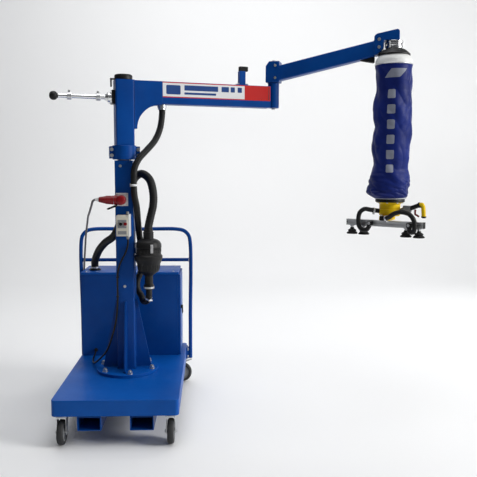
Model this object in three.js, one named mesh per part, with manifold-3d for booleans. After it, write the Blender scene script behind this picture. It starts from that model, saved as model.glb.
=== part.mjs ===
// Mobile vacuum tube lifter: articulated jib arm on a wheeled counterweight trolley.
// Millimetres, +Z up, X to the trolley's right, Y to the push-handle end. The column axis is X = Y = 0 before the whole is centred.
import * as THREE from "three";
import { mergeVertices } from "three/addons/utils/BufferGeometryUtils.js";
import Module from "manifold-3d";
const wasm = await Module();
wasm.setup();

// driving dimensions
const DECK_X = 375, DECK_Y0 = -602, DECK_Y1 = 660, DECK_Z0 = 190, DECK_Z1 = 288, DECK_R = 26;
const COLUMN = 118, COLUMN_TOP = 1690, WALL = 5;
const MAST_TURN = 16.5, BOOM_Z = 2131, BOOM_H = 146, BOOM_W = 100, BOOM_L = 1043;
const MAST_TOP = 2205;
const FORE_TURN = -17, FORE_TILT = 12.1, FORE_L = 813, FORE_H = 98, FORE_W = 88, FORE_Z = 2286;
const SLEEVE_R = 121, SLEEVE_TOP = 2317, SLEEVE_BOTTOM = 1441;
const BAR_L = 540, BAR_S = 42, BAR_Z = 1277, BAR_TURN = -38, BAR_OFF = 78;
const WHEEL_R = 75, CASTER_X = 324, CASTER_Y0 = -525, CASTER_Y1 = 598;
const CAB_X0 = -363, CAB_X1 = 323, CAB_Y0 = 325, CAB_Y1 = 645, CAB_TOP = 880;
const HANDLE_X = 406, HANDLE_Y = 569, HANDLE_TOP = 1199, HANDLE_MID = 954, HANDLE_R = 14;
const G = 0.3; // gap between neighbours
const D2R = Math.PI / 180;

// solids
function solid(g) {
  let n = g.index ? g.toNonIndexed() : g.clone();
  n.deleteAttribute("normal"); n.deleteAttribute("uv");
  n = mergeVertices(n, 1e-3);
  return new wasm.Manifold(new wasm.Mesh({ numProp: 3, vertProperties: new Float32Array(n.attributes.position.array), triVerts: new Uint32Array(n.index.array) }));
}
const box = (x0, x1, y0, y1, z0, z1) => solid(new THREE.BoxGeometry(x1 - x0, y1 - y0, z1 - z0).translate((x0 + x1) / 2, (y0 + y1) / 2, (z0 + z1) / 2));
// cylinder or cone between two points
function rod(a, b, r, seg = 14, r2 = r) {
  const A = new THREE.Vector3(...a), B = new THREE.Vector3(...b), d = B.clone().sub(A);
  const g = new THREE.CylinderGeometry(r2, r, d.length(), seg).translate(0, d.length() / 2, 0);
  g.applyQuaternion(new THREE.Quaternion().setFromUnitVectors(new THREE.Vector3(0, 1, 0), d.normalize())).translate(...a);
  return solid(g);
}
const cyl = (r, z0, z1, x = 0, y = 0, seg = 16, r2 = r) => rod([x, y, z0], [x, y, z1], r, seg, r2);
// outline in plan, pulled up from z0 to z1
function plate(pts, z0, z1, holes = []) {
  const s = new THREE.Shape(pts.map((p) => new THREE.Vector2(...p)));
  for (const h of holes) s.holes.push(new THREE.Path(h.map((p) => new THREE.Vector2(...p))));
  return solid(new THREE.ExtrudeGeometry(s, { depth: z1 - z0, bevelEnabled: false, curveSegments: 1 }).translate(0, 0, z0));
}
const rrect = (x0, x1, y0, y1, r, n = 3) => {
  const out = [];
  for (const [cx, cy, a] of [[x1 - r, y1 - r, 0], [x0 + r, y1 - r, 90], [x0 + r, y0 + r, 180], [x1 - r, y0 + r, 270]])
    for (let i = 0; i <= n; i++) out.push([cx + r * Math.cos((a + (90 * i) / n) * D2R), cy + r * Math.sin((a + (90 * i) / n) * D2R)]);
  return out;
};
const ring = (r, n = 16, x = 0, y = 0) => Array.from({ length: n }, (_, i) => [x + r * Math.cos((2 * Math.PI * i) / n), y + r * Math.sin((2 * Math.PI * i) / n)]);
// outline in the X-Z plane (x, z), thick along Y from y0 to y1
const sideplate = (pts, y0, y1) => {
  const s = new THREE.Shape(pts.map((p) => new THREE.Vector2(...p)));
  return solid(new THREE.ExtrudeGeometry(s, { depth: y1 - y0, bevelEnabled: false, curveSegments: 1 }).rotateX(Math.PI / 2).translate(0, y1, 0));
};
const lathe = (pts, seg = 16, x = 0, y = 0) => solid(new THREE.LatheGeometry(pts.map((p) => new THREE.Vector2(...p)), seg).rotateX(Math.PI / 2).translate(x, y, 0));
// round tube swept along a smooth curve
function hose(pts, r, steps, n = 10, closed = false) {
  const c = new THREE.CatmullRomCurve3(pts.map((p) => new THREE.Vector3(...p)), closed, "centripetal");
  const s = new THREE.Shape(ring(r, n).map((p) => new THREE.Vector2(...p)));
  return solid(new THREE.ExtrudeGeometry(s, { steps, extrudePath: c, bevelEnabled: false, curveSegments: 1 }));
}
const uni = (...s) => s.reduce((a, b) => a.add(b));
const less = (a, ...s) => s.reduce((x, b) => x.subtract(b), a);

const root = new THREE.Group();
root.name = "vacuum_tube_lifter";
const fixed = new THREE.Group(), mast = new THREE.Group(), fore = new THREE.Group(), lift = new THREE.Group(), grip = new THREE.Group();
const elbow = [BOOM_L * Math.cos(MAST_TURN * D2R), BOOM_L * Math.sin(MAST_TURN * D2R)];
const tip = [elbow[0] + FORE_L * Math.cos(FORE_TURN * D2R), elbow[1] + FORE_L * Math.sin(FORE_TURN * D2R)];
mast.rotation.z = MAST_TURN * D2R;
fore.position.set(elbow[0], elbow[1], 0);
fore.rotation.z = FORE_TURN * D2R;
lift.position.set(tip[0], tip[1], 0);
lift.rotation.z = BAR_TURN * D2R;
root.add(fixed, mast, fore, lift);

const PAINT = { blue: [0x2f55a5, 0.42, 0.1], black: [0x1b1c1e, 0.55, 0.1], rubber: [0x141414, 0.85, 0], steel: [0xb9bcc0, 0.3, 0.9], chrome: [0xd8dade, 0.12, 1], zinc: [0xa9acb0, 0.4, 0.9], cream: [0xd9d6c8, 0.5, 0], white: [0xe9e9e6, 0.45, 0], red: [0xc01822, 0.4, 0], yellow: [0xf0c400, 0.4, 0], fabric: [0x1d3d84, 0.9, 0], alu: [0xc7cacd, 0.35, 0.9], iron: [0x3a3a3c, 0.7, 0.4], grey: [0x8a8d90, 0.5, 0.1] };
function add(group, name, s, paint) {
  const m = s.getMesh(), g = new THREE.BufferGeometry();
  const v = new Float32Array(m.numVert * 3);
  for (let i = 0; i < m.numVert; i++) v.set(m.vertProperties.subarray(i * m.numProp, i * m.numProp + 3), i * 3);
  g.setAttribute("position", new THREE.BufferAttribute(v, 3)).setIndex(new THREE.BufferAttribute(new Uint32Array(m.triVerts), 1));
  const [color, roughness, metalness] = PAINT[paint];
  const mesh = new THREE.Mesh(g, new THREE.MeshStandardMaterial({ color, roughness, metalness }));
  mesh.name = name;
  group.add(mesh);
}

// ---------------------------------------------------------------- trolley
// folded tray: top sheet with a skirt all round, bored for the six studs and the column's cable
const STUDS = [-78, -18, 42, 102, 162, 222].map((a) => [177.5 * Math.cos(a * D2R), 177.5 * Math.sin(a * D2R)]);
{
  let s = plate(rrect(-DECK_X, DECK_X, DECK_Y0, DECK_Y1, DECK_R), DECK_Z0, DECK_Z1);
  s = less(s, plate(rrect(-DECK_X + 6, DECK_X - 6, DECK_Y0 + 6, DECK_Y1 - 6, DECK_R - 6), DECK_Z0 - 5, DECK_Z1 - 8));
  for (const [x, y] of STUDS) s = less(s, cyl(10.8, DECK_Z1 - 20, DECK_Z1 + 10, x, y, 8));
  add(fixed, "deck_tray", s, "blue");
}
// counterweight slab hung under the top sheet, clear of the stud ring
const slabTop = DECK_Z1 - 8 - G;
add(fixed, "ballast_slab", less(box(-330, 330, -470, 560, 212, slabTop), cyl(215, 200, 300, 0, 0, 20)), "iron");
// two fork tubes joined by cross channels, with a pad over each caster
{
  const Z0 = 98, Z1 = 183.5;
  let s = null;
  for (const x of [-155, 155]) {
    const t = less(box(x - 70, x + 70, -590, 640, Z0, Z1), box(x - 65, x + 65, -600, 650, Z0 + 5, Z1 - 5));
    s = s ? s.add(t) : t;
  }
  for (const y of [CASTER_Y0, CASTER_Y1]) {
    s = s.add(box(-346, 346, y - 42, y + 42, Z1 - 1, 211.5));
  }
  add(fixed, "fork_underframe", s, "blue");
}
// flange, stud ring, column
{
  let f = plate(ring(205, 28), DECK_Z1 + G, DECK_Z1 + 20);
  for (const [x, y] of STUDS) f = less(f, cyl(10.8, DECK_Z1 - 5, DECK_Z1 + 30, x, y, 8));
  add(fixed, "base_flange", f, "blue");
  let r = plate(ring(205, 20), 262, slabTop, [ring(150, 20)]);
  for (const [x, y] of STUDS) r = uni(r, cyl(10, 270, 334, x, y, 8), cyl(18, DECK_Z1 + 20 + G, 325, x, y, 6));
  add(fixed, "stud_ring", r, "zinc");
  const h = COLUMN / 2, z0 = DECK_Z1 + 20 + G;
  let c = box(-h, h, -h, h, z0, COLUMN_TOP);
  c = less(c, box(-h + WALL, h - WALL, -h + WALL, h - WALL, z0 - 5, COLUMN_TOP + 5));
  const g = [[h - 1, z0], [h + 100, z0], [h + 100, z0 + 14], [h + 10, 768], [h - 1, 768]];
  const rib = sideplate(g, -5, 5);
  for (const a of [0, 90, 180, 270]) c = c.add(rib.rotate([0, 0, a]));
  add(fixed, "mast_column", c, "blue");
  // turned post and bearing the mast swings on
  add(fixed, "king_post", uni(cyl(46, COLUMN_TOP - 60, 2150, 0, 0, 16), box(-h + WALL + G, h - WALL - G, -h + WALL + G, h - WALL - G, COLUMN_TOP - 60, COLUMN_TOP - 5)), "steel");
}
// push handle: one bent tube, a cross rail and two bolted feet
{
  const R = HANDLE_R, x = HANDLE_X, y = HANDLE_Y, zb = 196, zt = HANDLE_TOP - R;
  let s = hose([[-x, y, zb], [-x, y, 500], [-x, y, zt - 95], [-x + 12, y, zt - 45], [-x + 45, y, zt - 12], [-x + 95, y, zt], [0, y, zt], [x - 95, y, zt], [x - 45, y, zt - 12], [x - 12, y, zt - 45], [x, y, zt - 95], [x, y, 500], [x, y, zb]], R, 30, 8);
  s = s.add(rod([-x, y, HANDLE_MID], [x, y, HANDLE_MID], R - 1, 10));
  for (const k of [-1, 1]) {
    s = s.add(k < 0 ? box(-x - 4, -DECK_X - G, y - 38, y + 38, 196, 284) : box(DECK_X + G, x + 4, y - 38, y + 38, 196, 284));
    for (const z of [212, 268]) for (const d of [-25, 25]) s = s.add(rod([k * (x - 2), y + d, z], [k * (x + 12), y + d, z], 9, 6));
  }
  add(fixed, "push_handle", s, "blue");
}
// cabinet: floor, front, back and left wall in one folding, lid on top, door on the right
{
  const t = 3, z0 = DECK_Z1 + G;
  let s = box(CAB_X0, CAB_X1, CAB_Y0, CAB_Y1, z0, CAB_TOP);
  s = less(s, box(CAB_X0 + t, CAB_X1 + 5, CAB_Y0 + t, CAB_Y1 - t, z0 + t, CAB_TOP + 5));
  s = s.add(box(CAB_X1 - 26, CAB_X1, CAB_Y0 + 1, CAB_Y0 + 24, z0, CAB_TOP)).add(box(CAB_X1 - 26, CAB_X1, CAB_Y1 - 24, CAB_Y1 - 1, z0, CAB_TOP));
  add(fixed, "cabinet_shell", s, "blue");
  let l = box(CAB_X0 - 4, CAB_X1 + 8, CAB_Y0 - 4, CAB_Y1 + 4, CAB_TOP + G, CAB_TOP + 18);
  add(fixed, "cabinet_lid", l, "blue");
  // side-channel blower lying on its feet, with its motor
  const bx = -120, by = 480, bz = 540;
  let b = rod([bx - 40, by, bz], [bx + 50, by, bz], 130, 20).add(box(bx - 60, bx + 60, by - 120, by + 120, z0 + t + G, z0 + 22)).add(box(bx - 30, bx + 30, by - 60, by + 60, z0 + 20, bz - 60));
  b = b.add(rod([bx, by - 70, bz + 60], [bx, by - 70, bz + 190], 28, 12)).add(rod([bx, by + 70, bz + 60], [bx, by + 70, bz + 190], 28, 12));
  add(fixed, "vacuum_blower", b.add(rod([bx + 49, by, bz], [bx + 260, by, bz], 88, 16)).add(box(bx + 110, bx + 190, by - 50, by + 50, bz + 60, bz + 125)), "grey");
}
// ---------------------------------------------------------------- column fittings
{
  const h = COLUMN / 2, yf = -h - G;
  // cream switch box on the front face, a gland above and below it, two buttons
  let s = box(-43, 34, yf - 84, yf, 1205, 1340);
  for (const x of [-12, 17]) s = less(s, rod([x, yf - 90, 1285], [x, yf - 50, 1285], 11.5, 12));
  s = uni(s, cyl(11, 1180, 1207, 27, yf - 42, 10), cyl(11, 1338, 1362, 27, yf - 42, 10));
  add(fixed, "switch_box", s.add(box(33, 43, yf - 80, yf, 1200, 1345)), "cream");
  const btn = (x) => rod([x, yf - 62, 1285], [x, yf - 94, 1285], 10.8, 12);
  add(fixed, "start_button", btn(-12), "black");
  add(fixed, "stop_button", btn(17), "red");
  // plug-in supply inlet: mounting plate, round housing, mouth to the left, hinged flap below the mouth
  let c = box(-52, 27, yf - 12, yf, 1396, 1480).add(rod([-14, yf - 10, 1436], [-14, yf - 80, 1436], 31, 16)).add(rod([-14, yf - 44, 1436], [-56, yf - 45, 1436], 29, 14));
  c = c.add(sideplate([[-42, 1414], [-42, 1392], [-96, 1374], [-104, 1382], [-58, 1402], [-52, 1405]], yf - 66, yf - 26));
  add(fixed, "supply_inlet", c, "red");
  let p = rod([-59.5, yf - 46, 1436], [-112, yf - 50, 1438], 28.5, 14, 25).add(rod([-110, yf - 50, 1438], [-154, yf - 54, 1440], 24, 14, 16)).add(rod([-152, yf - 54, 1440], [-176, yf - 56, 1440], 12, 10));
  // grey supply lead from the plug down along the left to a gland on the cabinet's side
  p = p.add(hose([[-174, yf - 56, 1440], [-190, yf - 52, 1432], [-206, -90, 1396], [-236, 0, 1348], [-273, 150, 1310], [-308, 300, 1250], [-344, 430, 1150], [-367, 505, 1031], [-377, 522, 938], [-379, 516, 870], [-377, 504, 808]], 7, 30, 8)).add(rod([CAB_X0 - G, 504, 800], [-386, 504, 800], 12, 10));
  add(fixed, "supply_plug_lead", p, "red");
  add(fixed, "control_lead", hose([[27, yf - 42, 1179.7], [26, yf - 42, 1150], [12, yf - 40, 1100], [-24, yf - 22, 1030], [-46, yf - 12, 960], [-50, yf - 10, 775], [-62, yf - 16, 640], [-90, yf - 24, 530], [-130, yf - 10, 430], [-200, -20, 350], [-240, 80, 310], [-266, 190, 300], [-268, 270, 312], [-268, CAB_Y0 - 3, 330]], 6, 34, 8), "black");
}
// filter: canister hung on a bracket from the column's right side, lid on top
const FX = 154, FY = -52;
{
  const h = COLUMN / 2;
  let s = lathe([[0, 875], [26, 875], [26, 937], [50, 955], [68, 968], [74, 1010], [86, 1038], [91, 1050], [91, 1070], [82, 1080], [80, 1120], [0, 1120]], 20, FX, FY);
  s = s.add(box(h + G, 90, -30, 12, 1078, 1118)).add(cyl(33, 847, 877, FX, FY, 14));
  add(fixed, "filter_canister", s, "black");
  add(fixed, "filter_lid", lathe([[0, 1120.3], [82, 1120.3], [84, 1132], [78, 1158], [60, 1174], [34, 1182], [34, 1221], [0, 1221]], 20, FX, FY), "black");
}
// hoses
add(fixed, "pump_hose", hose([[FX, FY, 1221.3], [FX, FY, 1250], [166, -50, 1310], [186, -42, 1400], [186, -26, 1480], [158, 18, 1568], [101, 72, 1603], [54, 102, 1575], [14, 116, 1480], [-34, 122, 1330], [-96, 160, 1185], [-180, 260, 1117], [-246, 360, 1040], [-282, 425, 960], [-285, 442, 925], [-285, 442, 898.3]], 27, 36, 8), "rubber");
{
  const pts = [[241.6, 71.6, 2034.8], [241.6, 71.6, 2000], [228, 55, 1900], [196, 18, 1820], [148, -26, 1758], [100, -66, 1700], [74, -83, 1640], [68, -84, 1560], [70, -83, 1470], [81.5, -62, 1390], [84, -20, 1290], [87, 30, 1190], [97, 76, 1100], [102, 94, 1010], [84, 97, 935], [62, 92, 872], [65, 89, 818], [92, 64, 776], [112, 14, 751], [142, -30, 766], [FX, FY, 806], [FX, FY, 846.7]];
  add(fixed, "boom_hose", hose(pts, 21, 52, 8), "rubber");
}
// ---------------------------------------------------------------- casters
// name, swivel centre, trail of the wheel behind its swivel, and whether the caster has swung a quarter turn so that it trails to +X
const CASTERS = [["front_left", -CASTER_X, CASTER_Y0, -20, 0], ["front_right", CASTER_X, CASTER_Y0, -20, 0], ["rear_left", -CASTER_X, CASTER_Y1, 14, 0], ["rear_right", CASTER_X, CASTER_Y1, 14, 1]];
const turned = (x, y, q) => ({
  box: (u0, u1, v0, v1, z0, z1) => (q ? box(x + v0, x + v1, y - u1, y - u0, z0, z1) : box(x + u0, x + u1, y + v0, y + v1, z0, z1)),
  at: (u, v, z) => (q ? [x + v, y - u, z] : [x + u, y + v, z]),
});
for (const [n, x, y, off, q] of CASTERS) {
  const c = turned(x, y, q), top = 182 - G;
  let f = c.box(-40, 40, -40, 40, top - 8, top).add(cyl(34, top - 24, top - 6, x, y, 12));
  for (const d of [-1, 1]) f = f.add(sidebracket(x, y, d * 27, off, top, q));
  f = f.add(rod(c.at(-34, off, WHEEL_R), c.at(34, off, WHEEL_R), 7, 8));
  add(fixed, "caster_fork_" + n, f, "zinc");
  const tyre = less(rod(c.at(-20, off, WHEEL_R), c.at(20, off, WHEEL_R), WHEEL_R, 24), rod(c.at(-30, off, WHEEL_R), c.at(30, off, WHEEL_R), 7.6, 8));
  add(fixed, "caster_wheel_" + n, tyre, "grey");
}
function sidebracket(x, y, u, off, top, q) {
  const s = new THREE.Shape([[-34, top - 10], [34, top - 10], [off + 15, WHEEL_R - 10], [off - 15, WHEEL_R - 10]].map((p) => new THREE.Vector2(...p)));
  const g = new THREE.ExtrudeGeometry(s, { depth: 5, bevelEnabled: false }).applyMatrix4(new THREE.Matrix4().set(0, 0, 1, u - 2.5, 1, 0, 0, 0, 0, 1, 0, 0, 0, 0, 0, 1));
  return solid(g.rotateZ(q ? -Math.PI / 2 : 0).translate(x, y, 0));
}
// brake pedals over the trailing wheel of the two push-end casters
for (const [n, x, y, q] of [["left", -CASTER_X, CASTER_Y1, 0], ["right", CASTER_X, CASTER_Y1, 1]]) {
  const c = turned(x, y, q);
  add(fixed, "brake_pedal_" + n, c.box(-18, 18, 41, 90, 164, 170).add(rod(c.at(-18, 48, 164), c.at(18, 48, 164), 6, 8)), "steel");
}
// door with its latch
add(fixed, "cabinet_door", box(CAB_X1 + G, CAB_X1 + 20, CAB_Y0 + 2, CAB_Y1 - 2, DECK_Z1 + 6, CAB_TOP - 2), "blue");
add(fixed, "door_latch", rod([CAB_X1 + 20 + G, CAB_Y0 + 34, 640], [CAB_X1 + 34, CAB_Y0 + 34, 640], 12, 10).add(box(CAB_X1 + 28, CAB_X1 + 38, CAB_Y0 + 24, CAB_Y0 + 44, 590, 650)), "black");

// ---------------------------------------------------------------- mast and boom (local X along the boom)
{
  const h = 59, r = 46 + 1.2;
  // square head tube round the post
  let m = box(-h, h, -h, h, 1787 + G, MAST_TOP);
  m = less(m, cyl(r + 2, 1780, 2153, 0, 0, 16));
  add(mast, "mast_head", m, "blue");
  add(mast, "mast_cap", uni(cyl(58, MAST_TOP + G, 2240, 0, 0, 18), box(-84, -30, -14, 14, MAST_TOP + G, 2216)), "black");
  // split clamp collar with two bolted lugs
  let c = cyl(78, 1696, 1787, 0, 0, 20).add(box(-98, 98, -24, 24, 1702, 1781));
  c = less(c, cyl(r, 1690, 1795, 0, 0, 16));
  for (const k of [-1, 1]) for (const z of [1722, 1761]) c = c.add(rod([k * 86, -40, z], [k * 86, 32, z], 8, 6));
  add(mast, "slew_collar", c, "blue");
  // boom tube with the arched plates that carry it
  const x0 = h + G, zb = BOOM_Z - BOOM_H / 2, zt = BOOM_Z + BOOM_H / 2, w = BOOM_W / 2;
  let b = less(box(x0, BOOM_L - 40, -w, w, zb, zt), box(x0 - 1, BOOM_L - 30, -w + 4, w - 4, zb + 4, zt - 4));
  const arch = [[x0, zt], [x0, 1896], [x0 + 14, 1896]];
  for (let i = 1; i <= 7; i++) { const a = (i / 8) * 90 * D2R; arch.push([x0 + 14 + 170 * (1 - Math.cos(a)), 1896 + 163 * Math.sin(a)]); }
  arch.push([244, 2059], [244, zt]);
  for (const y of [-w - 4, w - 4]) b = b.add(sideplate(arch, y, y + 8));
  b = less(b, cyl(22, zb - 5, zb + 10, 252, 0, 12));
  b = b.add(less(cyl(31, zb - 1.5 - 20, zb + 1, 252, 0, 14), cyl(24.5, zb - 40, zb + 10, 252, 0, 12)));
  add(mast, "boom_beam", b, "blue");
  // elbow tube on the boom's end
  let e = less(cyl(39, 2060, 2231.7, BOOM_L, 0, 18), cyl(22.6, 2050, 2240, BOOM_L, 0, 14)).add(box(BOOM_L - 39.7, BOOM_L - 30, -w + 2, w - 2, zb + 4, zt - 4));
  add(mast, "elbow_tube", e, "blue");
  add(mast, "stop_post", box(786, 830, -20, 20, zt + G, zt + 96).add(box(792, 850, -16, 16, zt + 95, zt + 128)), "blue");
  // turning handle on the back of the head
  let t = box(-h - 22, -h - G, -38, 38, 2050, 2138).add(rod([-h - 20, 0, 2092], [-h - 62, 0, 2092], 34, 16));
  for (const z of [2064, 2124]) for (const y of [-24, 24]) t = t.add(rod([-h - 20, y, z], [-h - 32, y, z], 7, 6));
  add(mast, "tail_bracket", t, "black");
  let k = rod([-h - 62.3, 0, 2092], [-412, 0, 2092], 14, 12);
  for (const x of [-150, -330]) k = k.add(rod([x, 0, 2092], [x - 26, 0, 2092], 24, 12)).add(box(x - 20, x - 6, -7, 7, 2092, 2128));
  add(mast, "tail_rod", k, "chrome");
  add(mast, "tail_knob", lathe([[0, 412.3], [14, 412.3], [26, 424], [28.5, 438], [24, 454], [12, 465], [0, 466]], 14).rotate([0, -90, 0]).translate([0, 0, 2092]), "black");
}
// ---------------------------------------------------------------- forearm (local X along it)
{
  const t = Math.tan(FORE_TILT * D2R), zl = (x) => FORE_Z + x * t, hh = FORE_H / 2 / Math.cos(FORE_TILT * D2R), w = FORE_W / 2;
  let hub = less(sideplate([[-48, 2232], [48, 2232], [48, 2375], [-26, 2375], [-48, 2345]], -48, 48), box(44, 60, -w - 1, w + 1, 2200, 2400));
  hub = hub.add(cyl(21.4, 2080, 2233, 0, 0, 14));
  add(fore, "elbow_hub", hub, "blue");
  const x0 = 44.3, x1 = 683;
  const outer = sideplate([[x0, zl(x0) - hh], [x1, zl(x1) - hh], [x1, zl(x1) + hh], [x0, zl(x0) + hh]], -w, w);
  const inner = sideplate([[x0 - 5, zl(x0 - 5) - hh + 4], [x1 + 5, zl(x1 + 5) - hh + 4], [x1 + 5, zl(x1 + 5) + hh - 4], [x0 - 5, zl(x0 - 5) + hh - 4]], -w + 4, w - 4);
  add(fore, "forearm_beam", less(outer, inner), "blue");
  // goose-neck head: block on the forearm's end with an arm out over the lifting tube
  const a = x1 + G, e = FORE_L + 34;
  add(fore, "forearm_head", sideplate([[a, 2390], [702, 2390], [745, 2432], [748, 2483], [e, 2483], [e, 2538], [e - 14, 2552], [704, 2528], [a, 2508]], -w - 3, w + 3), "blue");
  // flat vacuum duct from the forearm's underside towards the swivel
  add(fore, "vacuum_duct", sideplate([[590, 2361.5], [640, 2352], [678, 2345], [687, 2350], [687, 2382], [683, 2381.6]], -26, 26), "rubber");
}
// ---------------------------------------------------------------- swivel, lifting tube and gripper (local X along the suction bar)
{
  add(lift, "swivel_joint", uni(cyl(55, 2428.3, 2452, 0, 0, 18), cyl(50, 2450, 2462, 0, 0, 18), cyl(55, 2460, 2482.7, 0, 0, 18)), "chrome");
  add(lift, "swivel_hood", lathe([[0, 2386.3], [106, 2386.3], [106, 2392], [62, 2428], [0, 2428]], 20), "black");
  add(lift, "tube_collar", lathe([[0, SLEEVE_TOP + G], [SLEEVE_R, SLEEVE_TOP + G], [SLEEVE_R + 1, 2330], [119, 2350], [110, 2370], [98, 2386], [0, 2386]], 20), "white");
  // gathered fabric tube, stretched by the vacuum inside it
  const prof = [[0, SLEEVE_BOTTOM], [104, SLEEVE_BOTTOM]];
  for (const [z, r] of [[1462, 116], [1500, 119], [1560, 112], [1640, 118], [1730, 113], [1850, 119], [1980, 115], [2120, 119], [2240, 116], [2300, SLEEVE_R]]) prof.push([r, z]);
  prof.push([SLEEVE_R - 2, SLEEVE_TOP], [0, SLEEVE_TOP]);
  add(lift, "lift_sleeve", lathe(prof, 24), "fabric");
  // valve body with a foot, suction bar, cups
  let v = cyl(98, 1418, SLEEVE_BOTTOM - G, 0, 0, 20).add(cyl(70, 1325, 1420, 0, 0, 20)).add(cyl(80, 1340, 1372, 0, 0, 20)).add(box(-34, 34, -BAR_OFF - 20, 20, BAR_Z + BAR_S / 2 + G, 1330));
  add(lift, "valve_body", v, "yellow");
  const by = -BAR_OFF, s = BAR_S / 2;
  let bar = box(-BAR_L / 2, BAR_L / 2, by - s, by + s, BAR_Z - s, BAR_Z + s);
  for (const y of [by - s - 1, by + s + 1]) bar = less(bar, rod([-BAR_L, y, BAR_Z], [BAR_L, y, BAR_Z], 6, 6));
  add(lift, "suction_bar", bar, "alu");
  const CUPS = [["cup_1", -238], ["cup_2", -150], ["cup_3", 150], ["cup_4", 238]];
  for (const [n, x] of CUPS) {
    const g = BAR_Z - s - G;
    add(lift, "suction_" + n, lathe([[0, 1195], [30, 1195], [38, 1197.5], [34, 1206], [26, 1212], [30, 1219], [22, 1227], [12, 1231], [12, g], [0, g]], 16, x, by), "rubber");
  }
  // control arm with the squeeze lever and its grip
  let arm = box(99, 150, -16, 16, 1352, 1398).add(rod([60, 0, 1356], [104, 0, 1375], 14, 8)).add(rod([146, 0, 1380], [206, 0, 1404], 16, 10));
  arm = less(arm, cyl(80.5, 1330, 1372.3, 0, 0, 20), cyl(70.5, 1330, 1417, 0, 0, 20));
  add(lift, "control_arm", arm.add(rod([205, 0, 1403.6], [224, 0, 1411], 19, 10)).add(rod([224, 0, 1411], [238, 0, 1330], 15, 10)), "grey");
  add(lift, "control_lever", rod([176, 0, 1346], [206, 0, 1328], 8, 8).add(rod([180, 0, 1374.3], [178, 0, 1340], 6, 8)), "red");
  // looping hoses from the valve body to a fitting on the front of the bar
  const fit = (x) => box(x - 16, x + 16, by - s - 32, by - s - G, 1262, 1291), fy = by - s - 16;
  const cut = (a) => less(a, cyl(70.4, 1325, 1417.7, 0, 0, 20), cyl(80.4, 1339.7, 1372.3, 0, 0, 20));
  add(lift, "feed_hose_left", cut(hose([[-46, -50, 1357], [-92, -98, 1366], [-130, -122, 1371], [-158, -131, 1348], [-167, -134, 1300], [-160, -132, 1254], [-136, -129, 1231], [-108, -124, 1235], [-92, fy, 1263]], 15, 26, 8).add(fit(-92))), "rubber");
  const elb = box(-16, 16, by - s - 32, by - 20 - G, 1299, 1329);
  add(lift, "feed_hose_right", cut(hose([[15, fy, 1314], [44, -122, 1322], [86, -130, 1350], [136, -134, 1362], [190, -134, 1350], [222, -134, 1312], [228, -132, 1266], [218, -128, 1236], [196, -122, 1234], [184, fy, 1263]], 15, 28, 8).add(fit(184)).add(elb)), "rubber");
}

// the frame's origin: middle of the bounding box, at the floor
root.updateMatrixWorld(true);
const bb = new THREE.Box3().setFromObject(root, true), mid = bb.getCenter(new THREE.Vector3());
const shift = new THREE.Vector3(-mid.x, -mid.y, -bb.min.z);
for (const g of [fixed, mast, fore, lift]) g.position.add(shift);
console.log("SHIFT " + shift.toArray().map((v) => v.toFixed(5)).join(" ") + " SIZE " + bb.getSize(new THREE.Vector3()).toArray().map((v) => v.toFixed(3)).join(" "));
export default root;
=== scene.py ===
import math
import bpy, bmesh
import numpy as np
from mathutils import Matrix, Vector, noise


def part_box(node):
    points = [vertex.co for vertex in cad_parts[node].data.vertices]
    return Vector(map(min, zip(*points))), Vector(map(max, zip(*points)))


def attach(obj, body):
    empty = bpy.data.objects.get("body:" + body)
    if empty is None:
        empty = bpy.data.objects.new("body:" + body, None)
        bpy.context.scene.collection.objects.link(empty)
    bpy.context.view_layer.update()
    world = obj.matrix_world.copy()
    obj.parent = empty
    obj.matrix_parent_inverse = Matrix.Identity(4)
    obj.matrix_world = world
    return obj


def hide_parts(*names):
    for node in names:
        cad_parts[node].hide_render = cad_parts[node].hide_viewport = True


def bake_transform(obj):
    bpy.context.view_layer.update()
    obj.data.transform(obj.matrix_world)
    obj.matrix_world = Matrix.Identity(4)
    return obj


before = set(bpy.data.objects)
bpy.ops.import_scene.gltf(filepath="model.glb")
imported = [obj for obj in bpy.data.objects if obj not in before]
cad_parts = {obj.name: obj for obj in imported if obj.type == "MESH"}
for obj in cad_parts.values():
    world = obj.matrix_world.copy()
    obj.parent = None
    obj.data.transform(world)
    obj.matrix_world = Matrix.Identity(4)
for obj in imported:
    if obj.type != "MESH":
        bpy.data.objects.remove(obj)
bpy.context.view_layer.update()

# ------------------------------------------------------------------ frames
_a, _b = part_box("mast_column")
SX, SY = (_a.x + _b.x) / 2, (_a.y + _b.y) / 2          # the column's axis in the row frame
T0 = Matrix.Translation((SX, SY, 0))
MT, FT, BT = math.radians(16.5), math.radians(-17), math.radians(-38)
EL = (1.043 * math.cos(MT), 1.043 * math.sin(MT))
TIP = (EL[0] + 0.813 * math.cos(FT), EL[1] + 0.813 * math.sin(FT))
TM = T0 @ Matrix.Rotation(MT, 4, "Z")
TF = T0 @ Matrix.Translation((EL[0], EL[1], 0)) @ Matrix.Rotation(FT, 4, "Z")
TG = T0 @ Matrix.Translation((TIP[0], TIP[1], 0)) @ Matrix.Rotation(BT, 4, "Z")

# ------------------------------------------------------------------ camera first
cam_data = bpy.data.cameras.new("camera")
cam = bpy.data.objects.new("camera", cam_data)
bpy.context.scene.collection.objects.link(cam)
cam.location = (SX + 0.5705, SY - 4.347, 1.651)
cam.rotation_euler = (math.radians(90 - 6.23), math.radians(-0.21), math.radians(-2.31))
cam_data.lens = 49.49
cam_data.sensor_width = 36
bpy.context.scene.camera = cam

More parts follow.
